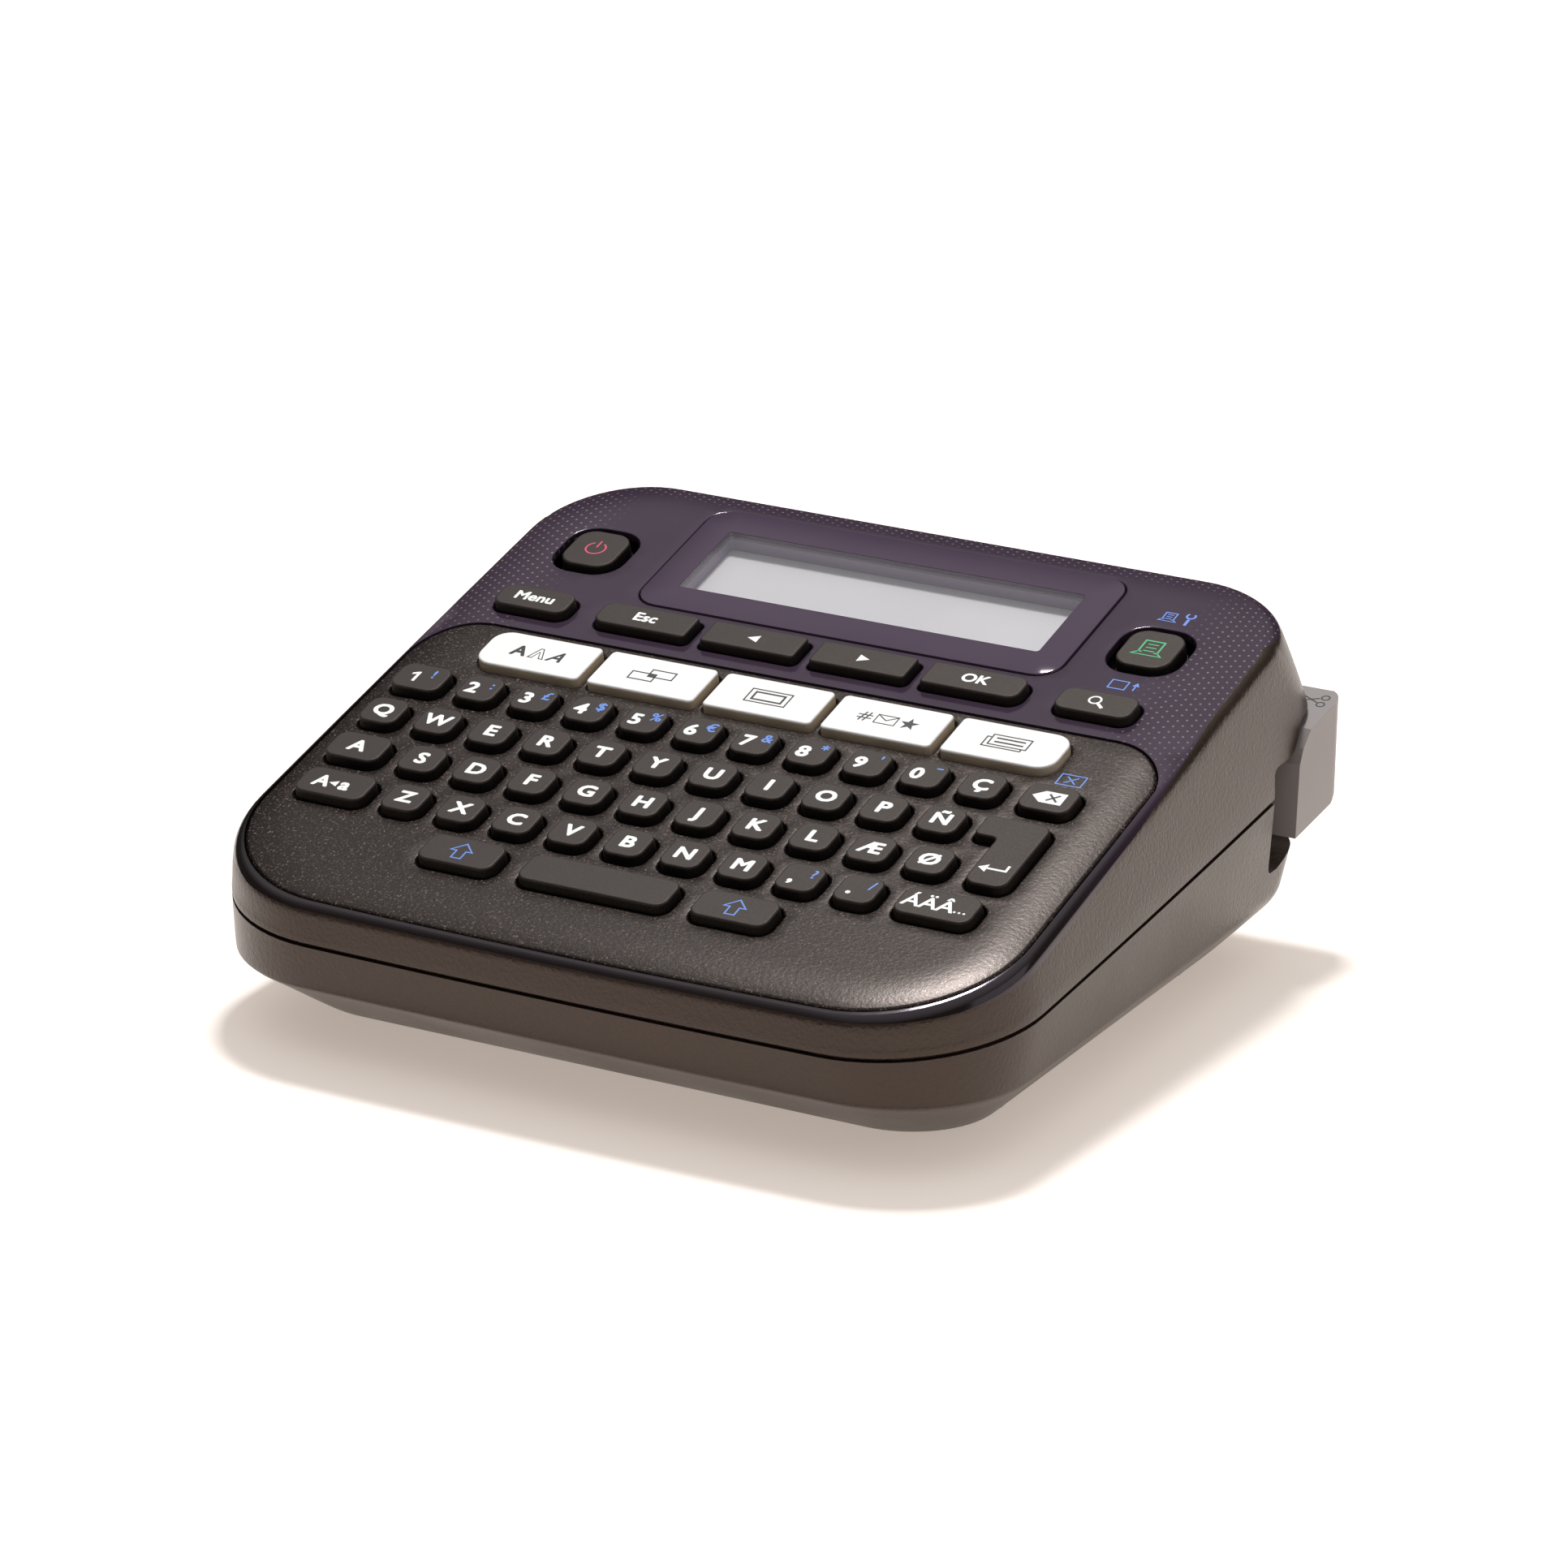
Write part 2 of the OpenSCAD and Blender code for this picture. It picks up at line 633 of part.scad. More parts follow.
module battery_contacts() color("gold")
    for (side = [-1, 1]) for (i = [0 : 2])
        translate([side * (cell_len + cell_gap + 0.7) - 0.3, cell_y + i * cell_row - 4,
            foot_h + floor_t + 2]) cube([0.6, 8, 9]);

module battery_springs() color("silver")
    for (side = [-1, 1]) for (i = [0 : 2])
        translate([side * (cell_gap - 0.9) - 0.7, cell_y + i * cell_row,
            foot_h + floor_t + 1 + cell_dia / 2]) rotate([0, 90, 0])
            cylinder(r1 = 3.4, r2 = 2.4, h = 1.4);

module underside_cover() color(casing_colour) difference() {
    translate([0, 0, foot_h]) linear_extrude(floor_t) cover_outline(0);
    // finger grips across the catch
    for (i = [-2 : 2]) translate([i * 3, cover_y0 + 4, foot_h - 0.5])
        cube([1.2, 8, 1.1], center = false);
}

module adapter_socket() color("black")
    translate([socket_x, 0, socket_z]) difference() {
        union() {
            translate([-5.5, 50, -5.5]) cube([11, 12, 11]);
            translate([0, 61, 0]) rotate([-90, 0, 0]) cylinder(r = 4, h = 6.5);
        }
        translate([0, 56, 0]) rotate([-90, 0, 0]) difference() {
            cylinder(r = socket_r, h = 20);
            translate([0, 0, -1]) cylinder(r = 0.8, h = 10);
        }
    }

upper_casing();
top_panel();
keyboard_plate();
display_window();
display_panel();
display_frame();
lower_casing();
rubber_feet();
casing_screws();
key_mat();
main_board();
rubber_keys([power_place], round_rise);  // power_key
rubber_keys([menu_place]);  // menu_key
rubber_keys([top_places[0]]);  // escape_key
rubber_keys([top_places[1]]);  // left_key
rubber_keys([top_places[2]]);  // right_key
rubber_keys([top_places[3]]);  // ok_key
rubber_keys([preview_place]);  // preview_key
rubber_keys([print_place], round_rise);  // print_key
function_key(0);  // font_key
function_key(1);  // style_key
function_key(2);  // frame_key
function_key(3);  // symbol_key
function_key(4);  // template_key
rubber_keys(number_places);  // number_keys
rubber_keys(upper_places);  // upper_letter_keys
rubber_keys(home_places);  // home_letter_keys
rubber_keys(lower_places);  // lower_letter_keys
rubber_keys([delete_place]);  // delete_key
enter_key();
rubber_keys([caps_place]);  // caps_key
rubber_keys([accent_place]);  // accent_key
rubber_keys([left_shift_place]);  // left_shift_key
rubber_keys([space_place]);  // space_key
rubber_keys([right_shift_place]);  // right_shift_key
tape_bay();
print_head();
heat_sink();
feed_motor();
motor_pinion();
idler_gear();
platen_gear();
platen_roller();
ribbon_drive();
cassette_shell();
tape_roll();
ribbon_spool();
takeup_spool();
cutter_lever();
lever_pin();
lever_spring();
cutter_blade();
blade_pin();
battery_tray();
battery_cells();
battery_contacts();
battery_springs();
underside_cover();
adapter_socket();
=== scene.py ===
"""Desktop tape label maker: shells, keys, legends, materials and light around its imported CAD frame."""

import json
import math

import bmesh
import bpy
from mathutils import Matrix, Vector
from mathutils.geometry import delaunay_2d_cdt


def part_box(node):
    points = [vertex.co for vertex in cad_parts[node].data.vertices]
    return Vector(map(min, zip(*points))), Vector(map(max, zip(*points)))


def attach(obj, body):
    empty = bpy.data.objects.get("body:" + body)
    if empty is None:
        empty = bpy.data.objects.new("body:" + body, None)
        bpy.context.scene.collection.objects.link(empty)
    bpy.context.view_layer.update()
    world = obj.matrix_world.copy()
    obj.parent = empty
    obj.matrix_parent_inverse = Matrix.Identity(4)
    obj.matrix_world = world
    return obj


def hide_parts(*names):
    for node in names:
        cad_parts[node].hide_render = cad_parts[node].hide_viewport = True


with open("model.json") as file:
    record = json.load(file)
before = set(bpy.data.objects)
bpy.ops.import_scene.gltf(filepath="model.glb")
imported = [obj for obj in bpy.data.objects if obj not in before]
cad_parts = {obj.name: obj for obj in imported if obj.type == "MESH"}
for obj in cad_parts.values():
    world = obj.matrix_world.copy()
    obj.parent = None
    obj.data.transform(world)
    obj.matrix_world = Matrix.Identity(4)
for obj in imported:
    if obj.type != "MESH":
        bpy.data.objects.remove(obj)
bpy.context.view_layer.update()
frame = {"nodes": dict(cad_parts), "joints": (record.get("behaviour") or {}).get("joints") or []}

MM = 0.001
SMOOTH_ANGLE = math.radians(32)
MERGE = 1e-6  # points closer than this, in metres, are one


# ---- the deck, from the frame

def find_deck():
    """Normal of the sloping deck, the direction up its slope, and its height over the origin."""
    press = next(j["axis"] for j in frame["joints"] if j["child"] == "space_key")
    normal = -Vector(press).normalized()
    plate = frame["nodes"]["keyboard_plate"].data
    top = max(normal.dot(v.co) for v in plate.vertices)
    return normal, Vector((0, normal.z, -normal.y)), top / normal.z


NORMAL, ALONG, DECK_Z = find_deck()
DECK_COS = NORMAL.z
DECK_SLOPE = -NORMAL.y / NORMAL.z


def linked(name, data):
    made = bpy.data.objects.new(name, data)
    bpy.context.scene.collection.objects.link(made)
    return made


def deck(x, s, h=0.0):
    """The point x across, s up the slope and h above the deck, all in millimetres."""
    return Vector((x * MM, 0, DECK_Z)) + ALONG * (s * MM) + NORMAL * (h * MM)


def on_deck(point):
    """(x, s, h) in millimetres of a point in metres."""
    p = Vector(point) - Vector((0, 0, DECK_Z))
    return p.x / MM, p.dot(ALONG) / MM, p.dot(NORMAL) / MM


def opened(mesh, merge=MERGE):
    """A mesh opened for edits, with the points that coincide joined."""
    shape = bmesh.new()
    shape.from_mesh(mesh)
    bmesh.ops.remove_doubles(shape, verts=shape.verts, dist=merge)
    return shape


def islands(node):
    """The points of each connected piece of a CAD node, in metres."""
    found = opened(frame["nodes"][node].data)
    left = set(found.verts)
    pieces = []
    while left:
        piece, edge = [], [left.pop()]
        while edge:
            v = edge.pop()
            piece.append(v.co.copy())
            for e in v.link_edges:
                other = e.other_vert(v)
                if other in left:
                    left.discard(other)
                    edge.append(other)
        pieces.append(piece)
    found.free()
    return pieces


def span(points):
    """[x0, x1, y0, y1] round the points."""
    xs, ys = [p[0] for p in points], [p[1] for p in points]
    return [min(xs), max(xs), min(ys), max(ys)]


def caps(node):
    """[x0, x1, s0, s1, top] of each key cap of a CAD node, from left to right."""
    boxes = []
    for island in islands(node):
        points = [on_deck(p) for p in island]
        top = max(p[2] for p in points)
        boxes.append(span([p for p in points if p[2] > top - 0.3]) + [top])
    return sorted(boxes)


# ---- outlines

def rounded(corners, radii, grow=0.0, steps=6):
    """Loop round a polygon with rounded corners, counter-clockwise, grown outwards by grow."""
    loop = []
    for i, radius in enumerate(radii):
        p0, p1, p2 = (Vector(corners[(i + k) % len(corners)]) for k in (-1, 0, 1))
        d1, d2 = (p1 - p0).normalized(), (p2 - p1).normalized()
        n1, n2 = Vector((d1.y, -d1.x)), Vector((d2.y, -d2.x))
        side = math.copysign(1, d1.x * d2.y - d1.y * d2.x)  # -1 at an inner corner
        corner = p1 + (n1 + n2) * grow / (1 + n1.dot(n2))
        radius = max(radius + side * grow, 0.02)
        theta = math.acos(max(-1, min(1, d1.dot(d2))))
        centre = corner - d1 * radius * math.tan(theta / 2) - n1 * radius * side
        for k in range(steps + 1):
            a = math.atan2(n1.y, n1.x) + side * theta * k / steps
            loop.append(tuple(centre + Vector((math.cos(a), math.sin(a))) * radius * side))
    return loop


def rect(x0, x1, s0, s1):
    return [(x0, s0), (x1, s0), (x1, s1), (x0, s1)]


def inside(point, loop):
    x, y = point
    hit = False
    for (x0, y0), (x1, y1) in zip(loop, loop[1:] + loop[:1]):
        if (y0 > y) != (y1 > y) and x < (x1 - x0) * (y - y0) / (y1 - y0) + x0:
            hit = not hit
    return hit


CORNER_STEPS, SIDE_STEPS, END_STEPS = 16, 14, 24


def plan(half, front, back, r_front, r_back, bow, narrow, side_bow=0.0):
    """Plan outline of the body at one level: rounded, bowed at the front, narrowing to the back."""
    points = []

    def edge(x0, y0, x1, y1, steps, r, start):
        """A straight edge and the corner that follows it."""
        for i in range(1, steps):
            points.append((x0 + (x1 - x0) * i / steps, y0 + (y1 - y0) * i / steps))
        cx, cy = x1 - r * math.cos(math.radians(start)), y1 - r * math.sin(math.radians(start))
        for i in range(CORNER_STEPS + 1):
            a = math.radians(start + 90 * i / CORNER_STEPS)
            points.append((cx + r * math.cos(a), cy + r * math.sin(a)))

    xf, xb, yf, yb = half - r_front, half - r_back, front + r_front, back - r_back
    edge(-xf, front, xf, front, END_STEPS, r_front, -90)
    edge(half, yf, half, yb, SIDE_STEPS, r_back, 0)
    edge(xb, back, -xb, back, END_STEPS, r_back, 90)
    edge(-half, yb, -half, yf, SIDE_STEPS, r_front, 180)
    middle, reach = (front + back) / 2, (back - front) / 2
    shaped = []
    for x, y in points:
        along = (y - front) / (back - front)
        pinch = side_bow * ((y - middle) / reach) ** 2 * min(1, abs(x) / half) ** 4
        bowed = bow * (1 - (x / half) ** 2) * max(0, (middle - y) / reach)
        shaped.append((x * (1 - narrow * along) - math.copysign(pinch, x), y - bowed))
    return shaped


# ---- mesh building

class Build:
    """Collects loops and faces, then makes one smooth-shaded object that rides on a body."""

    def __init__(self):
        self.points, self.faces, self.slots = [], [], []

    def loop(self, points):
        first = len(self.points)
        self.points += [Vector(p) for p in points]
        return list(range(first, len(self.points)))

    def face(self, corners, slot=0):
        self.faces.append(corners)
        self.slots.append(slot)

    def band(self, low, high, slot=0, closed=True):
        n = len(low)
        for i in range(n if closed else n - 1):
            j = (i + 1) % n
            self.face([low[i], low[j], high[j], high[i]], slot)

    def skin(self, loops, closed=False):
        """Bands through the loops in order, and back to the first if closed."""
        for one, two in zip(loops, loops[1:] + (loops[:1] if closed else [])):
            self.band(one, two)

    def solid(self, low, high):
        """The wall between two loops and both ends."""
        self.band(low, high)
        self.face(low[::-1])
        self.face(high)

    def bare(self, name):
        mesh = bpy.data.meshes.new(name)
        mesh.from_pydata(self.points, [], self.faces)
        return linked(name, mesh)

    def object(self, name, materials, body, replaces=(), slot=None):
        made = self.bare(name)
        mesh = made.data
        for m in materials:
            mesh.materials.append(m)
        for polygon, index in zip(mesh.polygons, self.slots):
            polygon.material_index = index
        face_out(mesh)
        smooth(mesh)
        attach(made, body)
        if replaces:
            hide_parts(*replaces)
        return made


def face_out(mesh):
    """Joins the points that coincide and turns all faces outwards."""
    shape = opened(mesh)
    bmesh.ops.recalc_face_normals(shape, faces=shape.faces)
    shape.to_mesh(mesh)
    shape.free()


def smooth(mesh):
    mesh.shade_smooth()
    mesh.set_sharp_from_angle(angle=SMOOTH_ANGLE)


def cut(target, *cutters):
    """Takes the cutters out of the target's mesh for good and deletes them."""
    for cutter in cutters:
        change = target.modifiers.new("cut", "BOOLEAN")
        change.operation = "DIFFERENCE"
        change.solver = "EXACT"
        change.object = cutter
    graph = bpy.context.evaluated_depsgraph_get()
    result = bpy.data.meshes.new_from_object(target.evaluated_get(graph))
    target.modifiers.clear()
    name = target.data.name
    target.data = result
    result.name = name
    smooth(result)
    for cutter in cutters:
        bpy.data.objects.remove(cutter, do_unlink=True)


# Where X, Y and Z are in (across, up, depth) of a view from the side, the top and the back.
SIDE, PLAN, BACK = (2, 0, 1), (0, 1, 2), (0, 2, 1)


def prism(points, low, high, view):
    """A closed prism as a bare cutter, from its outline in a view and its two depths."""
    b = Build()
    b.solid(*(b.loop([[(*p, depth)[i] * MM for i in view] for p in points])
              for depth in (low, high)))
    made = b.bare("cutter")
    face_out(made.data)
    return made


# ---- materials

class Tree:
    """A small helper that adds nodes to the node tree of a material or a world."""

    def __init__(self, owner):
        owner.use_nodes = True
        self.tree = owner.node_tree

    def add(self, kind, **values):
        """A node, with each value set on, or linked to, the input or setting of that name."""
        node = self.tree.nodes.new(kind)
        for key, value in values.items():
            if key.replace("_", " ") in node.inputs:
                self.put(node.inputs[key.replace("_", " ")], value)
            else:
                setattr(node, key, value)
        return node

    def put(self, socket, value):
        if isinstance(value, bpy.types.NodeSocket):
            self.tree.links.new(value, socket)
        else:
            socket.default_value = (*value, 1) if socket.type == "RGBA" else value

    def place(self, space="Object"):
        return self.add("ShaderNodeTexCoord").outputs[space]

    def noise(self, scale, detail=2.0, rough=0.5, place=None):
        return self.add("ShaderNodeTexNoise", Scale=scale, Detail=detail, Roughness=rough,
                        Vector=place or self.place()).outputs["Fac"]

    def math(self, kind, *values):
        node = self.add("ShaderNodeMath", operation=kind)
        for socket, value in zip(node.inputs, values):
            self.put(socket, value)
        return node.outputs[0]

    def ramp(self, value, low, high, a, b):
        """Maps value from low..high to a..b, smoothly and held at the ends."""
        return self.add("ShaderNodeMapRange", interpolation_type="SMOOTHSTEP", Value=value,
                        From_Min=low, From_Max=high, To_Min=a, To_Max=b).outputs["Result"]

    def mix(self, fac, a, b):
        node = self.add("ShaderNodeMix", data_type="RGBA", Factor=fac)
        self.put(node.inputs[6], a)
        self.put(node.inputs[7], b)
        return node.outputs[2]


class Nodes(Tree):
    """A node material built round one Principled shader."""

    def __init__(self, name, color, rough, **sockets):
        self.material = bpy.data.materials.new(name)
        super().__init__(self.material)
        self.shader = self.tree.nodes["Principled BSDF"].inputs
        self.material.diffuse_color = (*color, 1)
        for key, value in {"Base_Color": (*color, 1), "Roughness": rough, **sockets}.items():
            self.shader[key.replace("_", " ")].default_value = value

    def color(self, fac, dark, light):
        self.put(self.shader["Base Color"], self.mix(fac, dark, light))

    def rough(self, field, low, high, start=0.3, end=0.7):
        self.put(self.shader["Roughness"], self.ramp(field, start, end, low, high))

    def bump(self, height, depth, strength=1.0):
        node = self.add("ShaderNodeBump", Strength=strength, Distance=depth, Height=height)
        self.put(self.shader["Normal"], node.outputs["Normal"])


def dimmed(color, share):
    return tuple(c * share for c in color)


def moulded(name, color, rough, grain, scale, spread, **sockets):
    """Moulded plastic: fine grain in the bump, slight tone and gloss changes over the part."""
    n = Nodes(name, color, rough, **sockets)
    fine, broad = n.noise(scale, 3, 0.6), n.noise(35, 3)
    lift = tuple(min(1, c * (1 + spread)) for c in color)
    n.color(n.math("MULTIPLY_ADD", broad, 0.6, n.math("MULTIPLY", fine, 0.4)),
            dimmed(color, 1 - spread), lift)
    n.rough(broad, rough - 0.04, rough + 0.05)
    n.bump(fine, grain, 0.5)
    return n.material


def clouded(name, color, rough, cloud, dark, light, spread, **sockets):
    """A smooth surface with slow changes of tone and gloss, which follow one noise."""
    n = Nodes(name, color, rough, **sockets)
    field = n.noise(*cloud)
    n.color(field, dark, light)
    n.rough(field, *spread)
    return n.material


WARM_SHEEN = (1.0, 0.82, 0.74, 1)
PURPLE_SHEEN = (1.0, 0.86, 1.0, 1)


def rubber(name="soft_rubber", color=(0.016, 0.0145, 0.0135)):
    n = Nodes(name, color, 0.58, Specular_IOR_Level=0.42, Specular_Tint=WARM_SHEEN)
    fine, broad = n.noise(5200, 3, 0.65), n.noise(160, 4)
    n.color(broad, dimmed(color, 0.75), dimmed(color, 1.35))
    n.rough(fine, 0.5, 0.66)
    n.bump(fine, 0.00003, 0.5)
    return n.material


def plate_plastic():
    """Matt dark plate with a fine mineral sparkle."""
    n = Nodes("sparkle_plate", (0.012, 0.01, 0.009), 0.32, Specular_IOR_Level=0.42,
              Specular_Tint=WARM_SHEEN)
    speck = n.ramp(n.noise(2300, 2, 0.7), 0.56, 0.74, 0, 1)
    grain = n.noise(1300, 3, 0.6)
    base = n.mix(grain, (0.003, 0.002, 0.002), (0.012, 0.008, 0.007))
    n.color(speck, base, (0.22, 0.165, 0.14))
    n.rough(speck, 0.33, 0.22, 0, 1)
    n.bump(grain, 0.00008, 0.55)
    return n.material


def gloss_panel():
    """Piano-gloss panel with a printed field of light dots that fades towards its middle, and painted
    shade that darkens it towards the front.
    """
    n = Nodes("gloss_panel", (0.04, 0.026, 0.043), 0.13, Specular_IOR_Level=0.62,
              Specular_Tint=PURPLE_SHEEN)
    x, y, z = n.add("ShaderNodeSeparateXYZ", Vector=n.place()).outputs
    pitches, radius = (0.0031, 0.0018), 0.0002

    def product(*values):
        total = values[0]
        for value in values[1:]:
            total = n.math("MULTIPLY", total, value)
        return total

    def lattice(place, shift):
        """Distance to the nearest dot of one of the two interleaved rows of dots."""
        parts = []
        for axis, pitch in zip(place, pitches):
            cell = n.math("FRACT", n.math("ADD", n.math("DIVIDE", axis, pitch), shift))
            parts.append(n.math("POWER", n.math("MULTIPLY_ADD", cell, pitch, -pitch / 2), 2.0))
        return n.math("SQRT", n.math("ADD", *parts))

    def dots(*place):
        near = n.math("MINIMUM", lattice(place, 0.0), lattice(place, 0.5))
        return n.ramp(near, radius, radius * 1.35, 1, 0)

    plane = n.math("MULTIPLY_ADD", y, DECK_SLOPE, DECK_Z)
    below = product(n.math("SUBTRACT", plane, z), 0.8)
    width = n.math("ABSOLUTE", x)
    side = product(n.ramp(width, 0.057, 0.066, 0, 1), n.ramp(width, 0.0755, 0.0765, 1, 0),
                   n.ramp(y, 0.0, 0.022, 0, 1), n.ramp(y, 0.0605, 0.0625, 1, 0))
    back = n.ramp(y, 0.0615, 0.0645, 0, 1)
    shown = n.math("MAXIMUM", product(dots(n.math("ADD", width, below), y), side),
                   product(dots(x, n.math("ADD", y, below)), back))
    haze = n.noise(60, 3)
    base = n.mix(haze, (0.034, 0.021, 0.036), (0.046, 0.029, 0.049))
    # painted shade: the panel's colour darkens towards the front rim, where less bright light is
    # reflected
    base = n.mix(n.ramp(y, -0.045, 0.015, 1, 0), base, (0.012, 0.009, 0.0085))
    n.color(shown, base, (0.2, 0.165, 0.165))
    n.rough(haze, 0.1, 0.16)
    return n.material


def lens_pane():
    """Clear pane over the display."""
    n = Nodes("lens_pane", (0.9, 0.88, 0.92), 0.03, Alpha=0.05, Specular_IOR_Level=0.5)
    n.rough(n.noise(90, 2), 0.02, 0.05)
    return n.material


def display_glass():
    n = Nodes("liquid_crystal", (0.56, 0.57, 0.58), 0.35)
    cloud = n.noise(28, 2)
    grid = n.add("ShaderNodeTexBrick", Vector=n.place(), Scale=900.0, offset=0,
                 Mortar_Size=0.04, Brick_Width=0.5, Row_Height=0.5)
    tone = n.mix(cloud, (0.44, 0.43, 0.45), (0.56, 0.545, 0.56))
    n.color(n.math("MULTIPLY", grid.outputs["Fac"], 0.12), tone, (0.4, 0.4, 0.43))
    return n.material


def metal(name, color):
    """Drawn or ground metal with fine lines along X."""
    rough, stretch = 0.3, 40
    n = Nodes(name, color, rough, Metallic=1.0)
    along = n.add("ShaderNodeMapping", Vector=n.place(), Scale=(1, stretch, stretch))
    lines = n.noise(160, 4, 0.6, along.outputs["Vector"])
    n.color(lines, dimmed(color, 0.75), color)
    n.rough(lines, rough - 0.08, rough + 0.12)
    n.bump(lines, 0.00002, 0.3)
    return n.material


def circuit_board():
    n = Nodes("circuit_board", (0.02, 0.12, 0.05), 0.35, Coat_Weight=0.4)
    cells = n.add("ShaderNodeTexVoronoi", feature="DISTANCE_TO_EDGE", Vector=n.place(),
                  Scale=240.0)
    tracks = n.ramp(cells.outputs["Distance"], 0.02, 0.05, 1, 0)
    n.color(tracks, (0.015, 0.09, 0.04), (0.05, 0.22, 0.1))
    n.bump(tracks, 0.00005, 0.6)
    return n.material


def wound_film(name, dark, light):
    """Rings of wound film on the faces of a roll."""
    n = Nodes(name, light, 0.35)
    wave = n.add("ShaderNodeTexWave", Vector=n.place(), Scale=900.0).outputs["Fac"]
    n.color(wave, dark, light)
    n.bump(wave, 0.00003, 0.4)
    return n.material


CASING = moulded("satin_casing", (0.029, 0.0185, 0.0142), 0.31, 0.00022, 1300, 0.6,
                 Specular_Tint=WARM_SHEEN, Specular_IOR_Level=0.5)
PANEL = gloss_panel()
PLATE = plate_plastic()
RUBBER = rubber()
# Painted shade: the key tops' rubber made darker for the key walls and flanges, which stand in the gaps
# between the keys.
SHADED_RUBBER_WALL = rubber("rubber_wall_painted_shade", (0.006, 0.005, 0.0045))
WHITE = moulded("white_key_plastic", (0.9, 0.89, 0.87), 0.38, 0.00002, 2600, 0.03)
# Painted shade and warm reflection: the white keys' side walls are the same white plastic, coloured as a
# darker, warmer copy.
SHADED_WHITE_WALL = moulded("white_key_wall_painted_shade", (0.74, 0.6, 0.44), 0.45, 0.00002, 2600, 0.06)
LEVER = moulded("grey_lever_plastic", (0.27, 0.24, 0.235), 0.4, 0.00004, 2100, 0.06)
INNER = moulded("inner_plastic", (0.02, 0.02, 0.02), 0.55, 0.00005, 1500, 0.3)
PALE = moulded("pale_moulding", (0.6, 0.58, 0.52), 0.45, 0.00003, 1800, 0.08)
CLEAR_SHELL = moulded("cassette_plastic", (0.5, 0.5, 0.5), 0.3, 0.00002, 1500, 0.05)
LENS = clouded("lens_print", (0.06, 0.04, 0.066), 0.1, (40, 2), (0.056, 0.036, 0.06),
               (0.07, 0.047, 0.076), (0.08, 0.12), Specular_IOR_Level=0.5,
               Specular_Tint=PURPLE_SHEEN)
PANE = lens_pane()
DISPLAY = display_glass()
WELL = moulded("display_well", (0.22, 0.17, 0.25), 0.4, 0.00003, 2000, 0.08)
INK_WHITE, INK_BLUE, INK_DARK, INK_RED, INK_GREEN = (
    clouded(name, ink, 0.5, (2600, 2), dimmed(ink, 0.82), ink, (0.45, 0.6)) for name, ink in (
        ("ink_white", (0.98, 0.98, 0.96)), ("ink_blue", (0.13, 0.28, 0.78)),
        ("ink_dark", (0.02, 0.018, 0.018)), ("ink_red", (0.62, 0.06, 0.14)),
        ("ink_green", (0.05, 0.5, 0.2))))
STEEL = metal("ground_steel", (0.55, 0.55, 0.56))
BRASS = metal("brass", (0.75, 0.55, 0.25))
BOARD = circuit_board()
TAPE = wound_film("wound_tape", (0.55, 0.55, 0.55), (0.75, 0.75, 0.74))
RIBBON = wound_film("wound_ribbon", (0.01, 0.01, 0.012), (0.04, 0.04, 0.045))
SLEEVE = clouded("cell_sleeve", (0.03, 0.03, 0.03), 0.25, (300, 4), (0.02, 0.05, 0.035),
                 (0.05, 0.1, 0.07), (0.2, 0.35), Coat_Weight=0.6)


# ---- the body's shells

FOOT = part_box("rubber_feet")[1].z / MM
DECK = DECK_Z / MM
PART_Z, PART_RISE = 28.5, 0.095
GROOVE_W, GROOVE_D = 0.75, 0.9
SHELL_T = 2.0

# Levels of the outer skin, as a control polygon that the profile follows closely:
# [half width, front, back, front radius, back radius, front bow, narrowing, side bow, height
# over the middle, rise per millimetre of depth]
LEVELS = [
    [65.2, -54.8, 57.5, 15.5, 14, 0, 0, 0, FOOT, 0],
    [66.0, -55.7, 58.2, 16.2, 14.5, 0, 0, 0, FOOT + 0.15, 0],
    [73.9, -67.7, 65.2, 22, 15.5, 0.7, 0, 0.3, FOOT + 8.4, 0],
    [76.5, -71.7, 67.1, 25, 16, 1, 0, 0.5, FOOT + 11.0, 0.004],
    [76.9, -72.2, 68.3, 26, 16, 1.1, 0, 0.6, FOOT + 13.2, 0.02],
    [77.9, -73.1, 74.2, 28, 12.5, 1.4, 0, 0.8, PART_Z, PART_RISE],
    [78, -73.1, 74.6, 28, 12.5, 1.4, 0.004, 0.8, 31.6, 0.115],
    [77.9, -73.0, 74.2, 28, 12.5, 1.5, 0.008, 0.7, 34.6, 0.15],
    [77.4, -72.8, 68.6, 27, 18.5, 1.6, 0.025, 0.4, DECK - 3.9, DECK_SLOPE],
    [77.1, -72.7, 67.9, 26.8, 19.5, 1.65, 0.025, 0.4, DECK - 2.4, DECK_SLOPE],
    [76.4, -72.1, 67.1, 26.2, 20.5, 1.7, 0.025, 0.4, DECK - 1.45, DECK_SLOPE],
    [75.7, -71.7, 65.9, 25.9, 21, 1.75, 0.025, 0.4, DECK - 1.1, DECK_SLOPE]]
RINGS = [[Vector((x, y, v[8] + v[9] * y)) for x, y in plan(*v[:7], v[7])] for v in LEVELS]
COLUMNS = list(zip(*RINGS))
EDGE_DROP = 1.1
EDGE_REACH = 9.0


def profile(column, u):
    """Point at u (0 at the base, 1 at the deck edge) on the smooth curve through a column."""
    last = len(column) - 1
    position = u * last
    k = min(max(int(round(position)), 1), last - 1)
    if position <= 0.5:
        return column[0].lerp(column[1], position)
    if position >= last - 0.5:
        return column[last - 1].lerp(column[last], position - last + 1)
    t = position - k + 0.5
    a = column[k - 1].lerp(column[k], 0.5)
    c = column[k].lerp(column[k + 1], 0.5)
    return a.lerp(column[k], t).lerp(column[k].lerp(c, t), t)


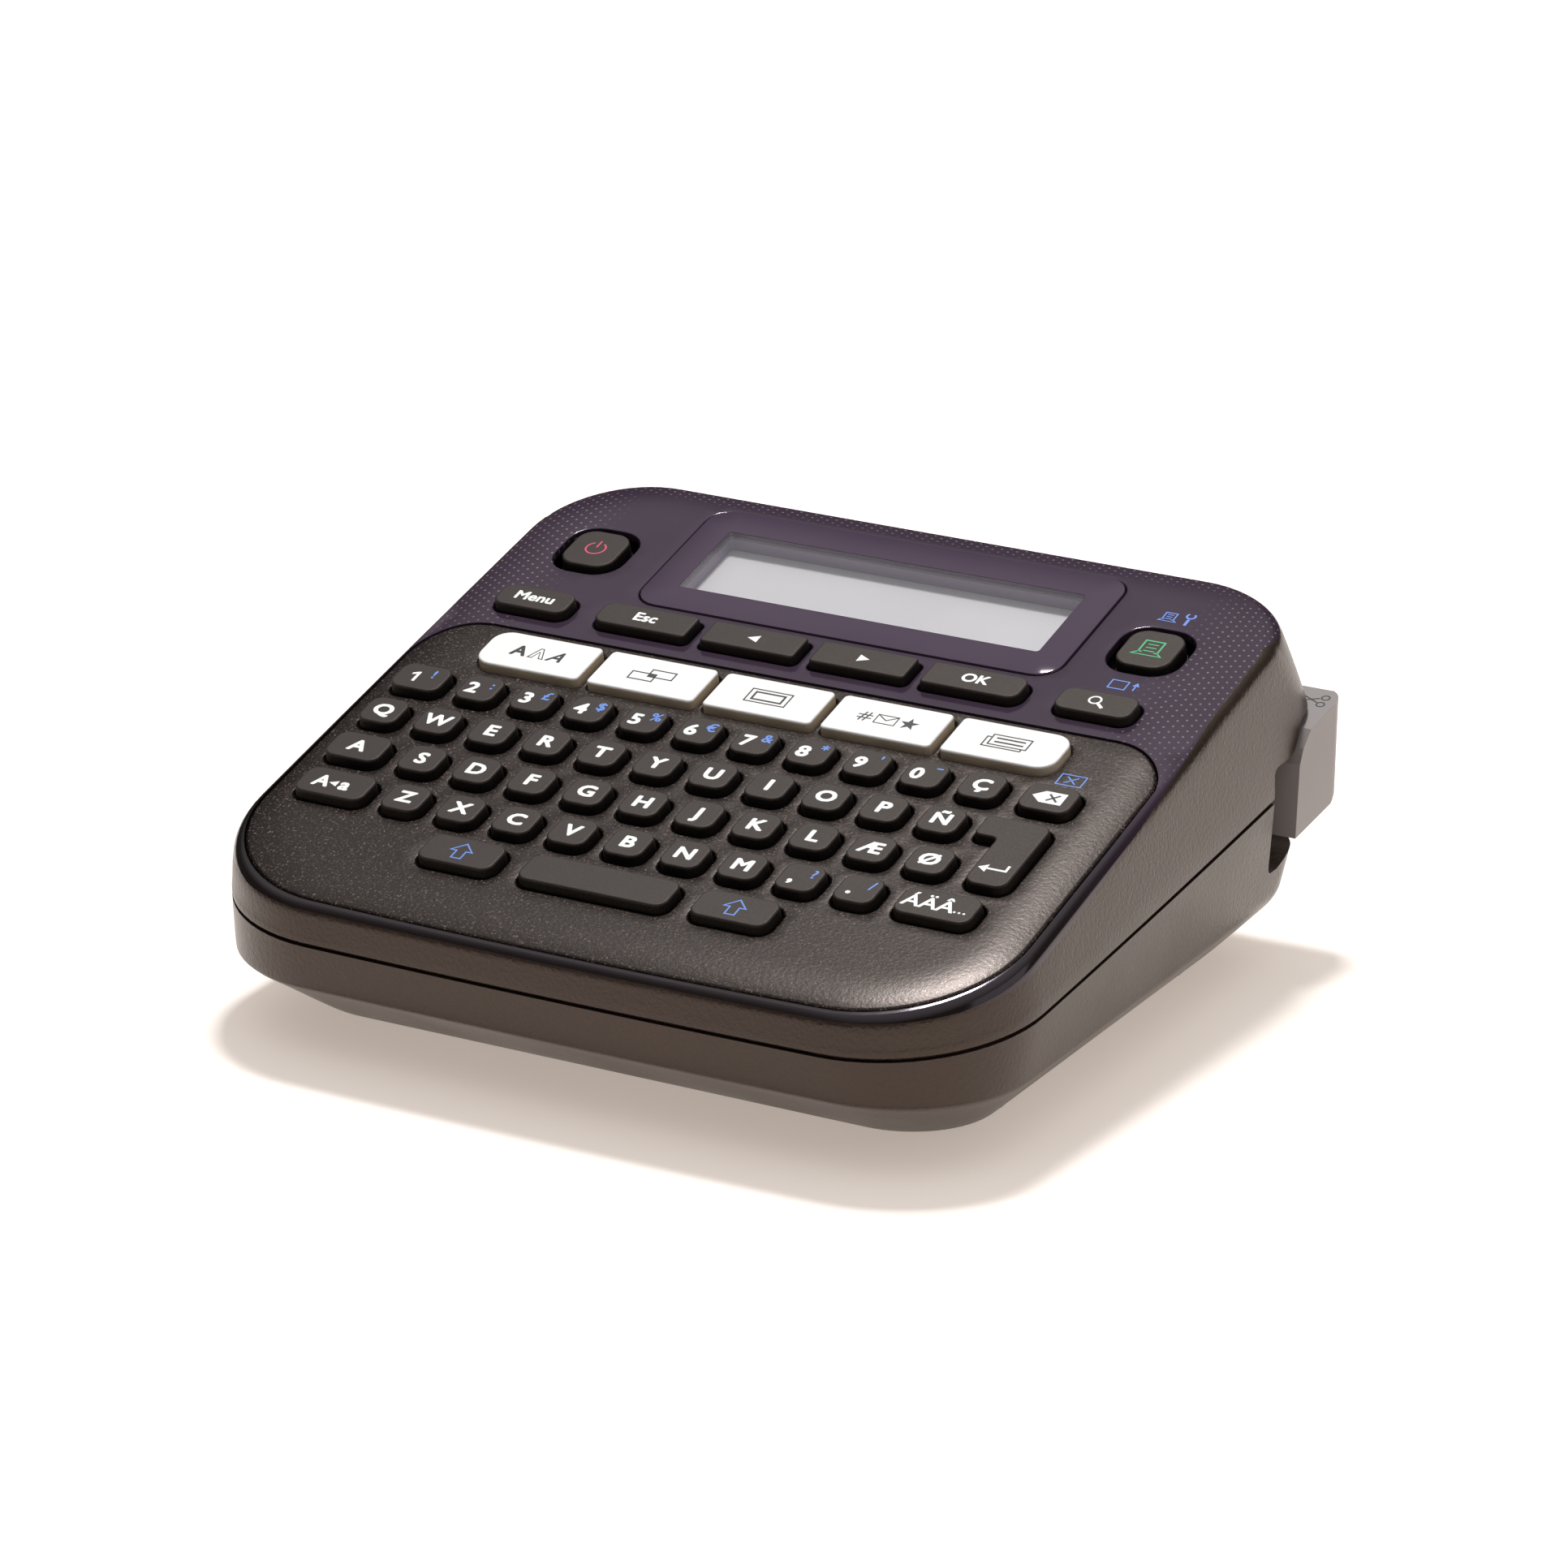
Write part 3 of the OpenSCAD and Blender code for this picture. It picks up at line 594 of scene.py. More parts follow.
def find_u(column, height_over):
    """The u at which a column passes a sloping cut, where height_over(point) is zero."""
    low, high = 0.0, 1.0
    for _ in range(26):
        middle = (low + high) / 2
        if height_over(profile(column, middle)) < 0:
            low = middle
        else:
            high = middle
    return (low + high) / 2


def part_u(lift):
    """Gives the u of a column at a height over the parting line."""
    return lambda c: find_u(c, lambda p: p.z - (PART_Z + lift + PART_RISE * p.y))


RIM_LINE = [(-90, 24.8), (-72, 28.4), (-55, 31.3), (-40, 34.9), (-10, 43.9), (25, 55.0),
            (48, 61.4), (90, 62.6)]


def rim_z(y):
    for (y0, z0), (y1, z1) in zip(RIM_LINE, RIM_LINE[1:]):
        if y <= y1:
            break
    return z0 + (z1 - z0) * (y - y0) / (y1 - y0)


def rim_u(column):
    return find_u(column, lambda p: p.z - rim_z(p.y))


def inward(loop, depth):
    """The loop moved in towards the middle by depth, level by level, in plan."""
    moved = []
    n = len(loop)
    for i, p in enumerate(loop):
        d = loop[(i + 1) % n] - loop[i - 1]
        out = Vector((d.y, -d.x, 0)).normalized()
        moved.append(p - out * depth)
    return moved


def skin_rows(start, end, rows):
    """Loops of the skin between two cuts, each a function of a column giving its u."""
    spans = [(start(c), end(c)) for c in COLUMNS]
    return [[profile(c, a + (b - a) * i / (rows - 1)) for c, (a, b) in zip(COLUMNS, spans)]
            for i in range(rows)]


def metres(loop):
    return [p * MM for p in loop]


def lower_shell():
    b = Build()
    rows = skin_rows(lambda c: 0.0, part_u(0.0), 34)
    outer = [b.loop(metres(r)) for r in rows]
    top_in = b.loop(metres(inward(rows[-1], SHELL_T)))
    floor = [Vector((p.x, p.y, FOOT + SHELL_T)) for p in inward(rows[4], SHELL_T)]
    floor_in = b.loop(metres(floor))
    b.skin(outer + [top_in, floor_in])
    b.face(floor_in)
    b.face(outer[0][::-1])
    return b.object("lower_casing_shell", [CASING], "casing", ["lower_casing"], "casing")


def upper_shell():
    b = Build()
    rows = skin_rows(part_u(GROOVE_W), rim_u, 20)
    foot = skin_rows(part_u(0.03), lambda c: 1.0, 2)[0]
    groove = [inward(foot, GROOVE_D), inward(rows[0], GROOVE_D), inward(rows[0], 0.12)]
    soft = [r.lerp(q, 0.12) for r, q in zip(rows[0], rows[1])]
    inner = [inward(rows[-1], SHELL_T), inward(foot, SHELL_T + 0.4)]
    b.skin([b.loop(metres(r)) for r in groove + [soft] + rows[1:] + inner], closed=True)
    return b.object("upper_casing_shell", [CASING], "casing", ["upper_casing"], "casing")


def edge_distance(x, s):
    """How far a point of the deck lies inside the deck's outline, in millimetres."""
    half, front, back, r_front, r_back, bow, narrow = LEVELS[-1][:7]
    y = s * DECK_COS
    wide = half * (1 - narrow * (y - front) / (back - front))
    middle = (front + back) / 2
    bowed = bow * (1 - (x / half) ** 2) * max(0, (middle - y) / (back - middle))
    r = r_front if y < middle else r_back
    dx = abs(x) - (wide - r)
    dy = (front - bowed + r) - y if y < middle else y - (back - r)
    outside = math.hypot(max(dx, 0), max(dy, 0)) + min(max(dx, dy), 0)
    return r - outside


def drop(x, s):
    """How far the surface lies below the deck plane near its edges (negative)."""
    d = edge_distance(x, s)
    return -EDGE_DROP * max(0.0, 1 - max(0.0, d) / EDGE_REACH) ** 2


def sunk(points, h=0.0):
    """Points of the deck at height h over its surface, which falls away at the edges."""
    return [deck(x, s, drop(x, s) + h) for x, s in points]


def level(points, h):
    """Points of the deck at height h over its plane."""
    return [deck(x, s, h) for x, s in points]


FILL_STEP, FILL_KEEP = 2.6, 0.9


def deck_surface(b, outer, holes, depth):
    """Fills the deck between an outer loop and its holes, as a slab of the given depth."""
    loops = [outer] + holes
    verts, edges = [], []
    for loop in loops:
        first = len(verts)
        verts += [Vector(p) for p in loop]
        edges += [(first + i, first + (i + 1) % len(loop)) for i in range(len(loop))]
    x0, x1, y0, y1 = span(outer)
    for i in range(1, int((x1 - x0) / FILL_STEP)):
        for j in range(1, int((y1 - y0) / FILL_STEP)):
            p = (x0 + (i + 0.5 * (j % 2)) * FILL_STEP, y0 + j * FILL_STEP)
            if inside(p, outer) and not any(
                    near_loop(p, loop) or loop is not outer and inside(p, loop) for loop in loops):
                verts.append(Vector(p))
    points, _, faces = delaunay_2d_cdt(verts, edges, [], 0, 1e-5)[:3]
    boxes = [(*span(h), h) for h in holes]
    top, low = b.loop(sunk(points)), b.loop(sunk(points, -depth))
    for f in faces:
        c = sum((points[i] for i in f), Vector((0, 0))) / len(f)
        if not inside(c, outer):
            continue
        if any(x0 < c.x < x1 and y0 < c.y < y1 and inside(c, h) for x0, x1, y0, y1, h in boxes):
            continue
        b.face([top[i] for i in f])
        b.face([low[i] for i in reversed(f)])


def near_loop(p, loop):
    """True if p is closer to the loop than FILL_KEEP."""
    x, y = p
    keep = FILL_KEEP
    for (ax, ay), (bx, by) in zip(loop, loop[1:] + loop[:1]):
        if min(ax, bx) - keep > x or max(ax, bx) + keep < x:
            continue
        if min(ay, by) - keep > y or max(ay, by) + keep < y:
            continue
        dx, dy = bx - ax, by - ay
        length = dx * dx + dy * dy
        t = max(0, min(1, ((x - ax) * dx + (y - ay) * dy) / length)) if length else 0
        if (ax + dx * t - x) ** 2 + (ay + dy * t - y) ** 2 < keep * keep:
            return True
    return False


BEVEL = [(1.0, 0.0), (0.62, -0.08), (0.3, -0.3), (0.08, -0.62), (0.0, -1.0)]


def hole_wall(b, shape, size, depth):
    """Rounded edge and wall of a hole. shape(grow) gives its loop; the surface starts at size."""
    loops = [b.loop(sunk(shape(size * grow), size * h)) for grow, h in BEVEL]
    b.skin(loops + [b.loop(sunk(shape(grow), -depth)) for grow in (0, size)])


KEY_R = 2.2
TOP_R = 0.8
KEY_GAP = 0.7
WHITE_GAP = 0.45
ROUND_GAP = 1.9
ROUND_R = 3.4
WHITE_R = 1.0
WHITE_END_R = 3.5

LETTER_NODES = ["number_keys", "upper_letter_keys", "home_letter_keys", "lower_letter_keys"]
WIDE_NODES = ["delete_key", "caps_key", "accent_key", "left_shift_key", "space_key",
              "right_shift_key"]
FLAT_ROW = ["escape_key", "left_key", "right_key", "ok_key"]
TOP_NODES = ["menu_key", *FLAT_ROW, "preview_key"]
ROUND_NODES = ["power_key", "print_key"]
WHITE_NODES = ["font_key", "style_key", "frame_key", "symbol_key", "template_key"]
CAPS = {node: caps(node) for node in LETTER_NODES + WIDE_NODES + TOP_NODES + ROUND_NODES
        + WHITE_NODES + ["enter_key"]}


def enter_shape(gap=0.0):
    """L-shaped outline of the enter key, with the foot of the L as wide as the delete key."""
    x0, x1, s0, s1 = CAPS["enter_key"][0][:4]
    ear, step, small = 4.6, 5.9, 1.1
    corners = [(x0 + ear, s0), (x1, s0), (x1, s1), (x0, s1), (x0, s1 - step), (x0 + ear, s1 - step)]
    return lambda grow: rounded(corners, [KEY_R] * 3 + [small] * 3, grow + gap)


def corner_radii(node):
    """Corner radii of a key. Rows of square keys are rounder at their outer ends."""
    for row, radius, end in ((FLAT_ROW, TOP_R, KEY_R), (WHITE_NODES, WHITE_R, WHITE_END_R)):
        if node in row:
            first, last = node == row[0], node == row[-1]
            return [end if outer else radius for outer in (first, last, last, first)]
    return [ROUND_R if node in ROUND_NODES else KEY_R] * 4


def key_shapes(nodes, gap=0.0):
    return [lambda g, box=box, r=corner_radii(node): rounded(rect(*box[:4]), r, g + gap)
            for node in nodes for box in CAPS[node]]


QUARTER = [math.radians(a) for a in range(0, 91, 15)]
PLATE_T = 2.2
PLATE_EDGE = [74.9, -71.0, 13.1, 25.3, 12.3, 1.8, 0.005]


def plate_outline(grow):
    half, front, back, rf, rb, bow, narrow = PLATE_EDGE
    loop = plan(half + grow, front - grow, back + grow, rf + grow, rb + grow, bow, narrow)
    return [(x, y / DECK_COS) for x, y in loop]


def keyboard():
    b = Build()
    holes = key_shapes(LETTER_NODES + WIDE_NODES, KEY_GAP) + key_shapes(WHITE_NODES, WHITE_GAP)
    holes.append(enter_shape(KEY_GAP))
    soft, edge = 0.35, 0.7
    deck_surface(b, plate_outline(-edge), [h(soft) for h in holes], PLATE_T)
    for h in holes:
        hole_wall(b, h, soft, PLATE_T)
    rings = [b.loop(sunk(plate_outline(-edge * (1 - math.sin(a))), -edge * (1 - math.cos(a))))
             for a in QUARTER]
    b.skin(rings + [b.loop(sunk(plate_outline(grow), -PLATE_T)) for grow in (0, -edge)])
    return b.object("keyboard_plate_skin", [PLATE], "casing", ["keyboard_plate"], "plate")


WINDOW_R = 4.8


def window_box():
    points = [on_deck(v.co) for v in frame["nodes"]["display_window"].data.vertices]
    return span(points) + [max(p[2] for p in points)]


WINDOW = window_box()


def top_shell():
    """Glossy panel and rim: the skin from the casing's edge up, and the deck with its holes."""
    b = Build()
    depth, soft, opening, rim_t = 1.6, 0.3, 0.25, 1.2
    rows = skin_rows(rim_u, lambda c: 1.0, 20)
    edge = [(p.x, p.y / DECK_COS) for p in rows[-1]]
    rows[-1] = [p / MM for p in sunk(edge)]
    loops = [b.loop(metres(r)) for r in rows]
    b.skin(loops)
    rim_in = b.loop(metres(inward(rows[0], rim_t)))
    b.band(rim_in, loops[0])
    b.band(b.loop(sunk(edge, -depth)), rim_in)
    holes = key_shapes(TOP_NODES, KEY_GAP) + key_shapes(ROUND_NODES, ROUND_GAP)
    holes.append(lambda grow: rounded(rect(*WINDOW[:4]), [WINDOW_R] * 4, grow + opening))
    deck_surface(b, edge, [h(soft) for h in holes] + [plate_outline(opening)], depth)
    for h in holes:
        hole_wall(b, h, soft, depth)
    b.band(*(b.loop(sunk(plate_outline(opening), z)) for z in (0, -depth)))
    b.object("top_panel_skin", [PANEL], "casing", ["top_panel"], "panel")


VIEW_W, VIEW_D, VIEW_R = 73.0, 20.0, 0.7


def window():
    """Printed lens border round the clear pane, and the recess with the display below it."""
    x0, x1, s0, s1, top = WINDOW
    mid_s = (s0 + s1) / 2
    view = rect(-VIEW_W / 2, VIEW_W / 2, mid_s - VIEW_D / 2, mid_s + VIEW_D / 2)
    outer = lambda g: rounded(rect(x0, x1, s0, s1), [WINDOW_R] * 4, g)
    inner = lambda g: rounded(view, [VIEW_R] * 4, g)
    low, floor, reach = top - 1.5, top - 3.9, 3.0

    border = Build()
    rings = ((outer, 0, low), (outer, 0, top - 0.35), (outer, -0.1, top - 0.1),
             (outer, -0.35, top), (inner, 0.06, top), (inner, 0, top - 0.06), (inner, 0, low))
    border.skin([border.loop(level(shape(g), h)) for shape, g, h in rings], closed=True)
    border.object("window_border", [LENS], "casing", ["display_window"], "window")

    pane = Build()
    pane.solid(*(pane.loop(level(inner(-0.02), h)) for h in (top - 0.7, top - 0.08)))
    pane.object("window_pane", [PANE], "casing", slot="window")

    well = Build()
    walls = ((0.05, low), (0.05, floor), (reach, floor), (reach, low))
    well.skin([well.loop(level(inner(g), h)) for g, h in walls], closed=True)
    well.object("display_surround", [WELL], "casing", ["display_frame"], "inner_plastic")

    glass = Build()
    glass.solid(*(glass.loop(level(inner(reach), h)) for h in (floor - 1.1, floor - 0.02)))
    glass.object("display_sheet", [DISPLAY], "casing", ["display_panel"], "display")


# ---- keys

FLANGE_TOP, FLANGE_LOW = -2.5, -3.4
FLANGE, ROUND_FLANGE, WHITE_FLANGE = 1.2, 0.3, 0.75
KEY_FILLET, WHITE_FILLET = 0.42, 0.4
CAP_GROW = 0.06


def build_caps(name, node, shapes, materials, slot, fillet, flange, foot_grow=0.22):
    """The caps of a node: rounded tops in the first material, walls in the second, a darker copy of the
    first that paints the shade down in the gaps.
    """
    b = Build()
    for shape in shapes:
        top = CAPS[node][0][4]
        rings = [(flange, FLANGE_LOW), (flange, FLANGE_TOP), (foot_grow, FLANGE_TOP),
                 (CAP_GROW, top - fillet - 0.02)]
        rings += [(CAP_GROW - fillet * (1 - math.cos(a)), top - fillet * (1 - math.sin(a)))
                  for a in QUARTER] + [(CAP_GROW - fillet - 0.12, top)]
        loops = [b.loop(level(shape(g), h)) for g, h in rings]
        for i, (one, two) in enumerate(zip(loops, loops[1:])):
            b.band(one, two, 1 if i < 3 else 0)
        b.face(loops[0][::-1])
        b.face(loops[-1])
    b.object(name, materials, node, [node], slot)


def keys():
    rubbers = [RUBBER, SHADED_RUBBER_WALL]
    for node in LETTER_NODES + WIDE_NODES + TOP_NODES + ROUND_NODES:
        build_caps(node + "_caps", node, key_shapes([node]), rubbers, "key", KEY_FILLET,
                   ROUND_FLANGE if node in ROUND_NODES else FLANGE)
    build_caps("enter_key_cap", "enter_key", [enter_shape()], rubbers, "key", KEY_FILLET, FLANGE)
    for node in WHITE_NODES:
        build_caps(node + "_cap", node, key_shapes([node]), [WHITE, SHADED_WHITE_WALL], "white_key",
                   WHITE_FILLET, WHITE_FLANGE, 0.12)


# ---- legends

INK_T, INK_SINK = 0.03, 0.02
CAP_SHARE = 0.69  # height of a capital letter in the font, as a share of its size


def lettering(words, weight, shear):
    """Outline mesh of centred words with cap height 1, made heavier by the weight all round."""
    curve = bpy.data.curves.new("words", "FONT")
    curve.body = words
    curve.align_x = "CENTER"
    curve.size = 1 / CAP_SHARE
    curve.shear = shear
    curve.resolution_u = 3
    holder = linked("words", curve)
    graph = bpy.context.evaluated_depsgraph_get()
    mesh = bpy.data.meshes.new_from_object(holder.evaluated_get(graph))
    bpy.data.objects.remove(holder, do_unlink=True)
    bpy.data.curves.remove(curve)
    shape = opened(mesh, 1e-5)
    bpy.data.meshes.remove(mesh)
    flat = [v.co.xy for v in shape.verts]
    parts = [[v.index for v in f.verts] for f in shape.faces]
    shape.free()
    around = [Vector((math.cos(a), math.sin(a))) * weight
              for a in (math.radians(60 * i) for i in range(6))]
    points, faces = [], []
    for shift in [Vector((0, 0))] + around:
        first = len(points)
        points += [p + shift for p in flat]
        faces += [[first + i for i in part] for part in parts]
    verts, _, tris, _, _, owners = delaunay_2d_cdt(points, [], faces, 0, 1e-5)
    kept = []
    for f, owner in zip(tris, owners):
        centre = sum((verts[i] for i in f), Vector((0, 0))) / len(f)
        if any(inside(centre, [points[i] for i in faces[k]]) for k in owner):
            kept.append(list(f))
    return verts, kept


class Ink:
    """Printed marks of one colour on one body, thin and raised, drawn round an origin."""

    def __init__(self, name, material, body, slot, x=0.0, s=0.0, top=0.01):
        self.build, self.name, self.material = Build(), name, material
        self.body, self.slot, self.place = body, slot, deck
        self.x, self.s, self.top = x, s, top

    def __enter__(self):
        return self

    def __exit__(self, *error):
        if self.build.faces:
            self.build.object(self.name, [self.material], self.body, slot=self.slot)

    def at(self, box):
        """Moves the origin to the middle of a key's cap."""
        self.x, self.s, self.top = (box[0] + box[1]) / 2, (box[2] + box[3]) / 2, box[4]
        return self

    def levels(self, points, lift):
        """Loops through the points at the foot and at the face of the print."""
        return [self.build.loop([self.place(self.x + x, self.s + s, self.top + lift + z)
                                 for x, s in points]) for z in (-INK_SINK, INK_T)]

    def polygon(self, points, lift=0.0):
        self.build.solid(*self.levels(points, lift))

    def stroke(self, points, width, lift=0.0, closed=False):
        """A line of constant width through points, with mitred corners."""
        points = [Vector(p) for p in points]
        ways = [(q - p).normalized() for p, q in zip(points, points[1:] + points[:1])]
        left, right = [], []
        for i, p in enumerate(points):
            d1 = ways[i - 1 if i or closed else 0]
            d2 = ways[i if i < len(points) - 1 or closed else i - 1]
            n1, n2 = Vector((-d1.y, d1.x)), Vector((-d2.y, d2.x))
            out = (n1 + n2) / max(0.35, 1 + n1.dot(n2)) * width / 2
            left.append(p + out)
            right.append(p - out)
        (low_l, high_l), (low_r, high_r) = self.levels(left, lift), self.levels(right, lift)
        for one, two in ((high_l, high_r), (low_r, low_l), (low_l, high_l), (high_r, low_r)):
            self.build.band(one, two, closed=closed)
        if not closed:
            for i in (0, -1):
                ends = [low_l[i], low_r[i], high_r[i], high_l[i]]
                self.build.face(ends if i else ends[::-1])

    def text(self, words, x, s, size, weight, wide=1.0, shear=0.0):
        """Centred text with the given cap height and added stroke weight, in millimetres."""
        points, faces = lettering(words, weight / size, shear)
        low, high = self.levels([(x + p[0] * size * wide, s + (p[1] - 0.5) * size)
                                 for p in points], 0)
        edges = {(i, j) for f in faces for i, j in zip(f, f[1:] + f[:1])}
        for f in faces:
            self.build.face([high[i] for i in f])
            self.build.face([low[i] for i in reversed(f)])
        for i, j in sorted(edges):
            if (j, i) not in edges:
                self.build.face([low[i], low[j], high[j], high[i]])


def ring(x, s, radius, start=0, end=360, steps=28):
    count = steps if end - start >= 360 else steps + 1
    return [(x + radius * math.cos(math.radians(start + (end - start) * i / steps)),
             s + radius * math.sin(math.radians(start + (end - start) * i / steps)))
            for i in range(count)]


LETTER_SIZE = 3.1
LETTER_WIDE = 1.08
LETTER_WEIGHT = 0.19
SYMBOL_SIZE, SYMBOL_WEIGHT = 2.3, 0.07
WORD_SIZE, WORD_WEIGHT = 2.5, 0.12
ACCENT_WEIGHT = 0.1
DIGIT_ONE = [(0.15, -1.55), (0.75, -1.55), (0.75, 1.55), (0.3, 1.55), (-0.75, 0.95), (-0.75, 0.4),
             (0.15, 0.8)]


SHIFT_ARROW = [(-0.924, -2.2), (0.924, -2.2), (0.924, 0), (2.1, 0), (0, 2.2), (-2.1, 0),
               (-0.924, 0)]
ROWS = {"number_keys": ("1 2 3 4 5 6 7 8 9 0 Ç", "! : £ $ % € & * ' ¯ -"),
        "upper_letter_keys": ("Q W E R T Y U I O P Ñ", "- " * 11),
        "home_letter_keys": ("A S D F G H J K L Æ Ø", "- " * 11),
        "lower_letter_keys": ("Z X C V B N M , .", "- - - - - - - ? /")}


def letter_legends():
    """White letters, with a blue second symbol beside them on some keys (none where a dash is)."""
    for node, (letters, symbols) in ROWS.items():
        with Ink(node + "_symbols", INK_BLUE, node, "key") as blue, \
                Ink(node + "_letters", INK_WHITE, node, "key") as white:
            for letter, symbol, box in zip(letters.split(), symbols.split(), CAPS[node]):
                blue.at(box)
                white.at(box)
                dx, ds = (-1.3, -0.2) if symbol != "-" else (0, 0.1)
                if letter == "1":
                    white.polygon([(dx + x, ds + s) for x, s in DIGIT_ONE])
                else:
                    white.text(letter, dx, ds, LETTER_SIZE, LETTER_WEIGHT, LETTER_WIDE)
                if symbol != "-":
                    blue.text(symbol, 2.1, 1.3, SYMBOL_SIZE, SYMBOL_WEIGHT)


def arrow(x, s, size, side):
    """Solid triangle that points left (-1) or right (1)."""
    return [(x + side * size * 0.55, s), (x - side * size * 0.45, s + size * 0.5),
            (x - side * size * 0.45, s - size * 0.5)][::side]


def key_mark(node, name, material, slot="key"):
    return Ink(f"{node}_{name}", material, node, slot).at(CAPS[node][0])


def wide_legends():
    for node in ("left_shift_key", "right_shift_key"):
        with key_mark(node, "arrow", INK_BLUE) as mark:
            mark.stroke(SHIFT_ARROW, 0.3, closed=True)
    with key_mark("caps_key", "legend", INK_WHITE) as mark:
        mark.text("A", -2.6, 0, LETTER_SIZE, LETTER_WEIGHT)
        mark.polygon(arrow(-0.2, -0.2, 1.7, -1))
        mark.text("a", 2.1, 0, LETTER_SIZE, LETTER_WEIGHT)
    with key_mark("accent_key", "legend", INK_WHITE) as mark:
        mark.text("ÁÄÂ", -1.5, -0.1, LETTER_SIZE, ACCENT_WEIGHT, LETTER_WIDE)
        for i in range(3):
            mark.polygon(ring(3.7 + 0.9 * i, -1.2, 0.26, steps=10))
    with key_mark("delete_key", "legend", INK_WHITE) as mark:
        mark.polygon([(-3.2, 0), (-1.2, -1.75), (2.9, -1.75), (2.9, 1.75), (-1.2, 1.75)])
    with key_mark("delete_key", "cross", INK_DARK) as mark:
        for side in (-1, 1):
            mark.stroke([(-0.2, -side), (1.8, side)], 0.4, INK_T)
    with key_mark("enter_key", "legend", INK_WHITE) as mark:
        box = CAPS["enter_key"][0]
        mark.x, mark.s = box[1] - 4.4, box[2] + 4.6
        mark.stroke([(2.6, 1.7), (2.6, 0), (-1.0, 0)], 0.5)
        mark.polygon([(-2.6, 0), (-0.9, -1.15), (-0.9, 1.15)])
    for node, words in (("menu_key", "Menu"), ("escape_key", "Esc"), ("ok_key", "OK")):
        with key_mark(node, "legend", INK_WHITE) as mark:
            mark.text(words, 0, 0.2, WORD_SIZE, WORD_WEIGHT)
    for node, side in (("left_key", -1), ("right_key", 1)):
        with key_mark(node, "legend", INK_WHITE) as mark:
            mark.polygon(arrow(0, 0, 2.2, side))
    with key_mark("preview_key", "legend", INK_WHITE) as mark:
        mark.stroke(ring(-0.5, 0.5, 1.1), 0.38, closed=True)
        mark.stroke([(0.35, -0.35), (1.7, -1.6)], 0.6)
    with key_mark("power_key", "legend", INK_RED) as mark:
        mark.stroke(ring(0, 0, 1.9, 120, 420), 0.36)
        mark.stroke([(0, 2.5), (0, 0.3)], 0.36)
    with key_mark("print_key", "legend", INK_GREEN) as mark:
        page_icon(mark, 0, 0, 1.15, 0.32)


def page_icon(mark, x, s, k, width):
    """A printed page coming out of a tray."""
    def line(points, pen):
        mark.stroke([(x + a * k, s + b * k) for a, b in points], pen)

    line([(-1.6, -1.3), (-1.6, 2.1), (1.6, 2.1), (1.6, -1.3)], width)
    line([(-1.0, -1.1), (-1.6, -1.1), (-2.5, -1.9), (2.5, -1.9), (1.6, -1.1), (1.0, -1.1)], width)
    for height in (1.15, 0.2, -0.75):
        line([(-0.9, height), (0.9, height)], width * 0.8)


def white_legends():
    hair, thin, thick, over = 0.22, 0.28, 0.42, 0.004

    def white_mark(node):
        return key_mark(node, "legend", INK_DARK, "white_key")

    with white_mark("font_key") as mark:
        mark.text("A", -3.7, 0.1, 3.0, 0.16)
        outline = [(-1.5, -1.5), (-0.25, 1.6), (0.35, 1.6), (1.5, -1.5), (0.75, -1.5),
                   (0.05, 0.6), (-0.7, -1.5)]
        mark.stroke([(0.1 + x, 0.1 + s) for x, s in outline], 0.2, closed=True)
        mark.text("A", 3.6, 0.1, 3.0, 0.09, shear=0.4)
    with white_mark("style_key") as mark:
        for x, s in ((-1.7, -0.7), (1.7, 0.7)):
            mark.stroke(rect(x - 2.4, x + 2.4, s - 1.15, s + 1.15), thin, closed=True)
        mark.polygon(rect(-0.7, 0.7, -0.45, 0.45), over)
    with white_mark("frame_key") as mark:
        mark.stroke(rect(-4.0, 4.0, -2.0, 2.0), thin, closed=True)
        mark.stroke(rect(-2.9, 2.9, -1.15, 1.15), thick, closed=True)
    with white_mark("symbol_key") as mark:
        for i in (-1, 1):
            mark.stroke([(-5.7, 0.45 * i), (-2.9, 0.45 * i)], 0.26)
            mark.stroke([(-4.65 + 0.45 * i, -1.4), (-3.95 + 0.45 * i, 1.4)], 0.3, over)
        mark.stroke(rect(-2.1, 1.9, -1.3, 1.3), hair, closed=True)
        mark.stroke([(-2.0, 1.2), (-0.1, -0.2), (1.8, 1.2)], hair, over)
        star = [(1.85 if i % 2 == 0 else 0.75, math.radians(90 + 36 * i)) for i in range(10)]
        mark.polygon([(4.4 + r * math.cos(a), r * math.sin(a)) for r, a in star])
    with white_mark("template_key") as mark:
        mark.stroke(rect(-3.3, 4.1, -1.2, 1.9), thin, closed=True)
        mark.stroke([(-3.5, 1.0), (-4.2, 1.0), (-4.2, -1.9), (3.3, -1.9), (3.3, -1.3)], thin)
        for height in (0.95, -0.2):
            mark.stroke([(-2.4, height), (3.2, height)], thick)


def lever_legend():
    """Small open scissors on the lever's top face."""
    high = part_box("cutter_lever")[1]
    points = [v.co / MM for v in frame["nodes"]["cutter_lever"].data.vertices]
    rear = max(p.z for p in points)
    front = max((p for p in points if p.y < high.y / MM - 8 and p.z > rear - 5), key=lambda p: p.z)
    back = max(points, key=lambda p: p.z)
    rise = (back.z - front.z) / (back.y - front.y)
    x, y = high.x / MM - 4.2, high.y / MM - 4.6

    with Ink("lever_mark", INK_DARK, "lever", "lever", x, y, 0.0) as mark:
        mark.place = lambda px, py, h: Vector((px, py, back.z + (py - back.y) * rise + h)) * MM
        for side in (-1, 1):
            mark.stroke([(-3.4, -side * 1.5), (0.9, side * 0.75)], 0.3)
            mark.stroke(ring(1.8, side * 1.2, 0.75, steps=14), 0.28, closed=True)


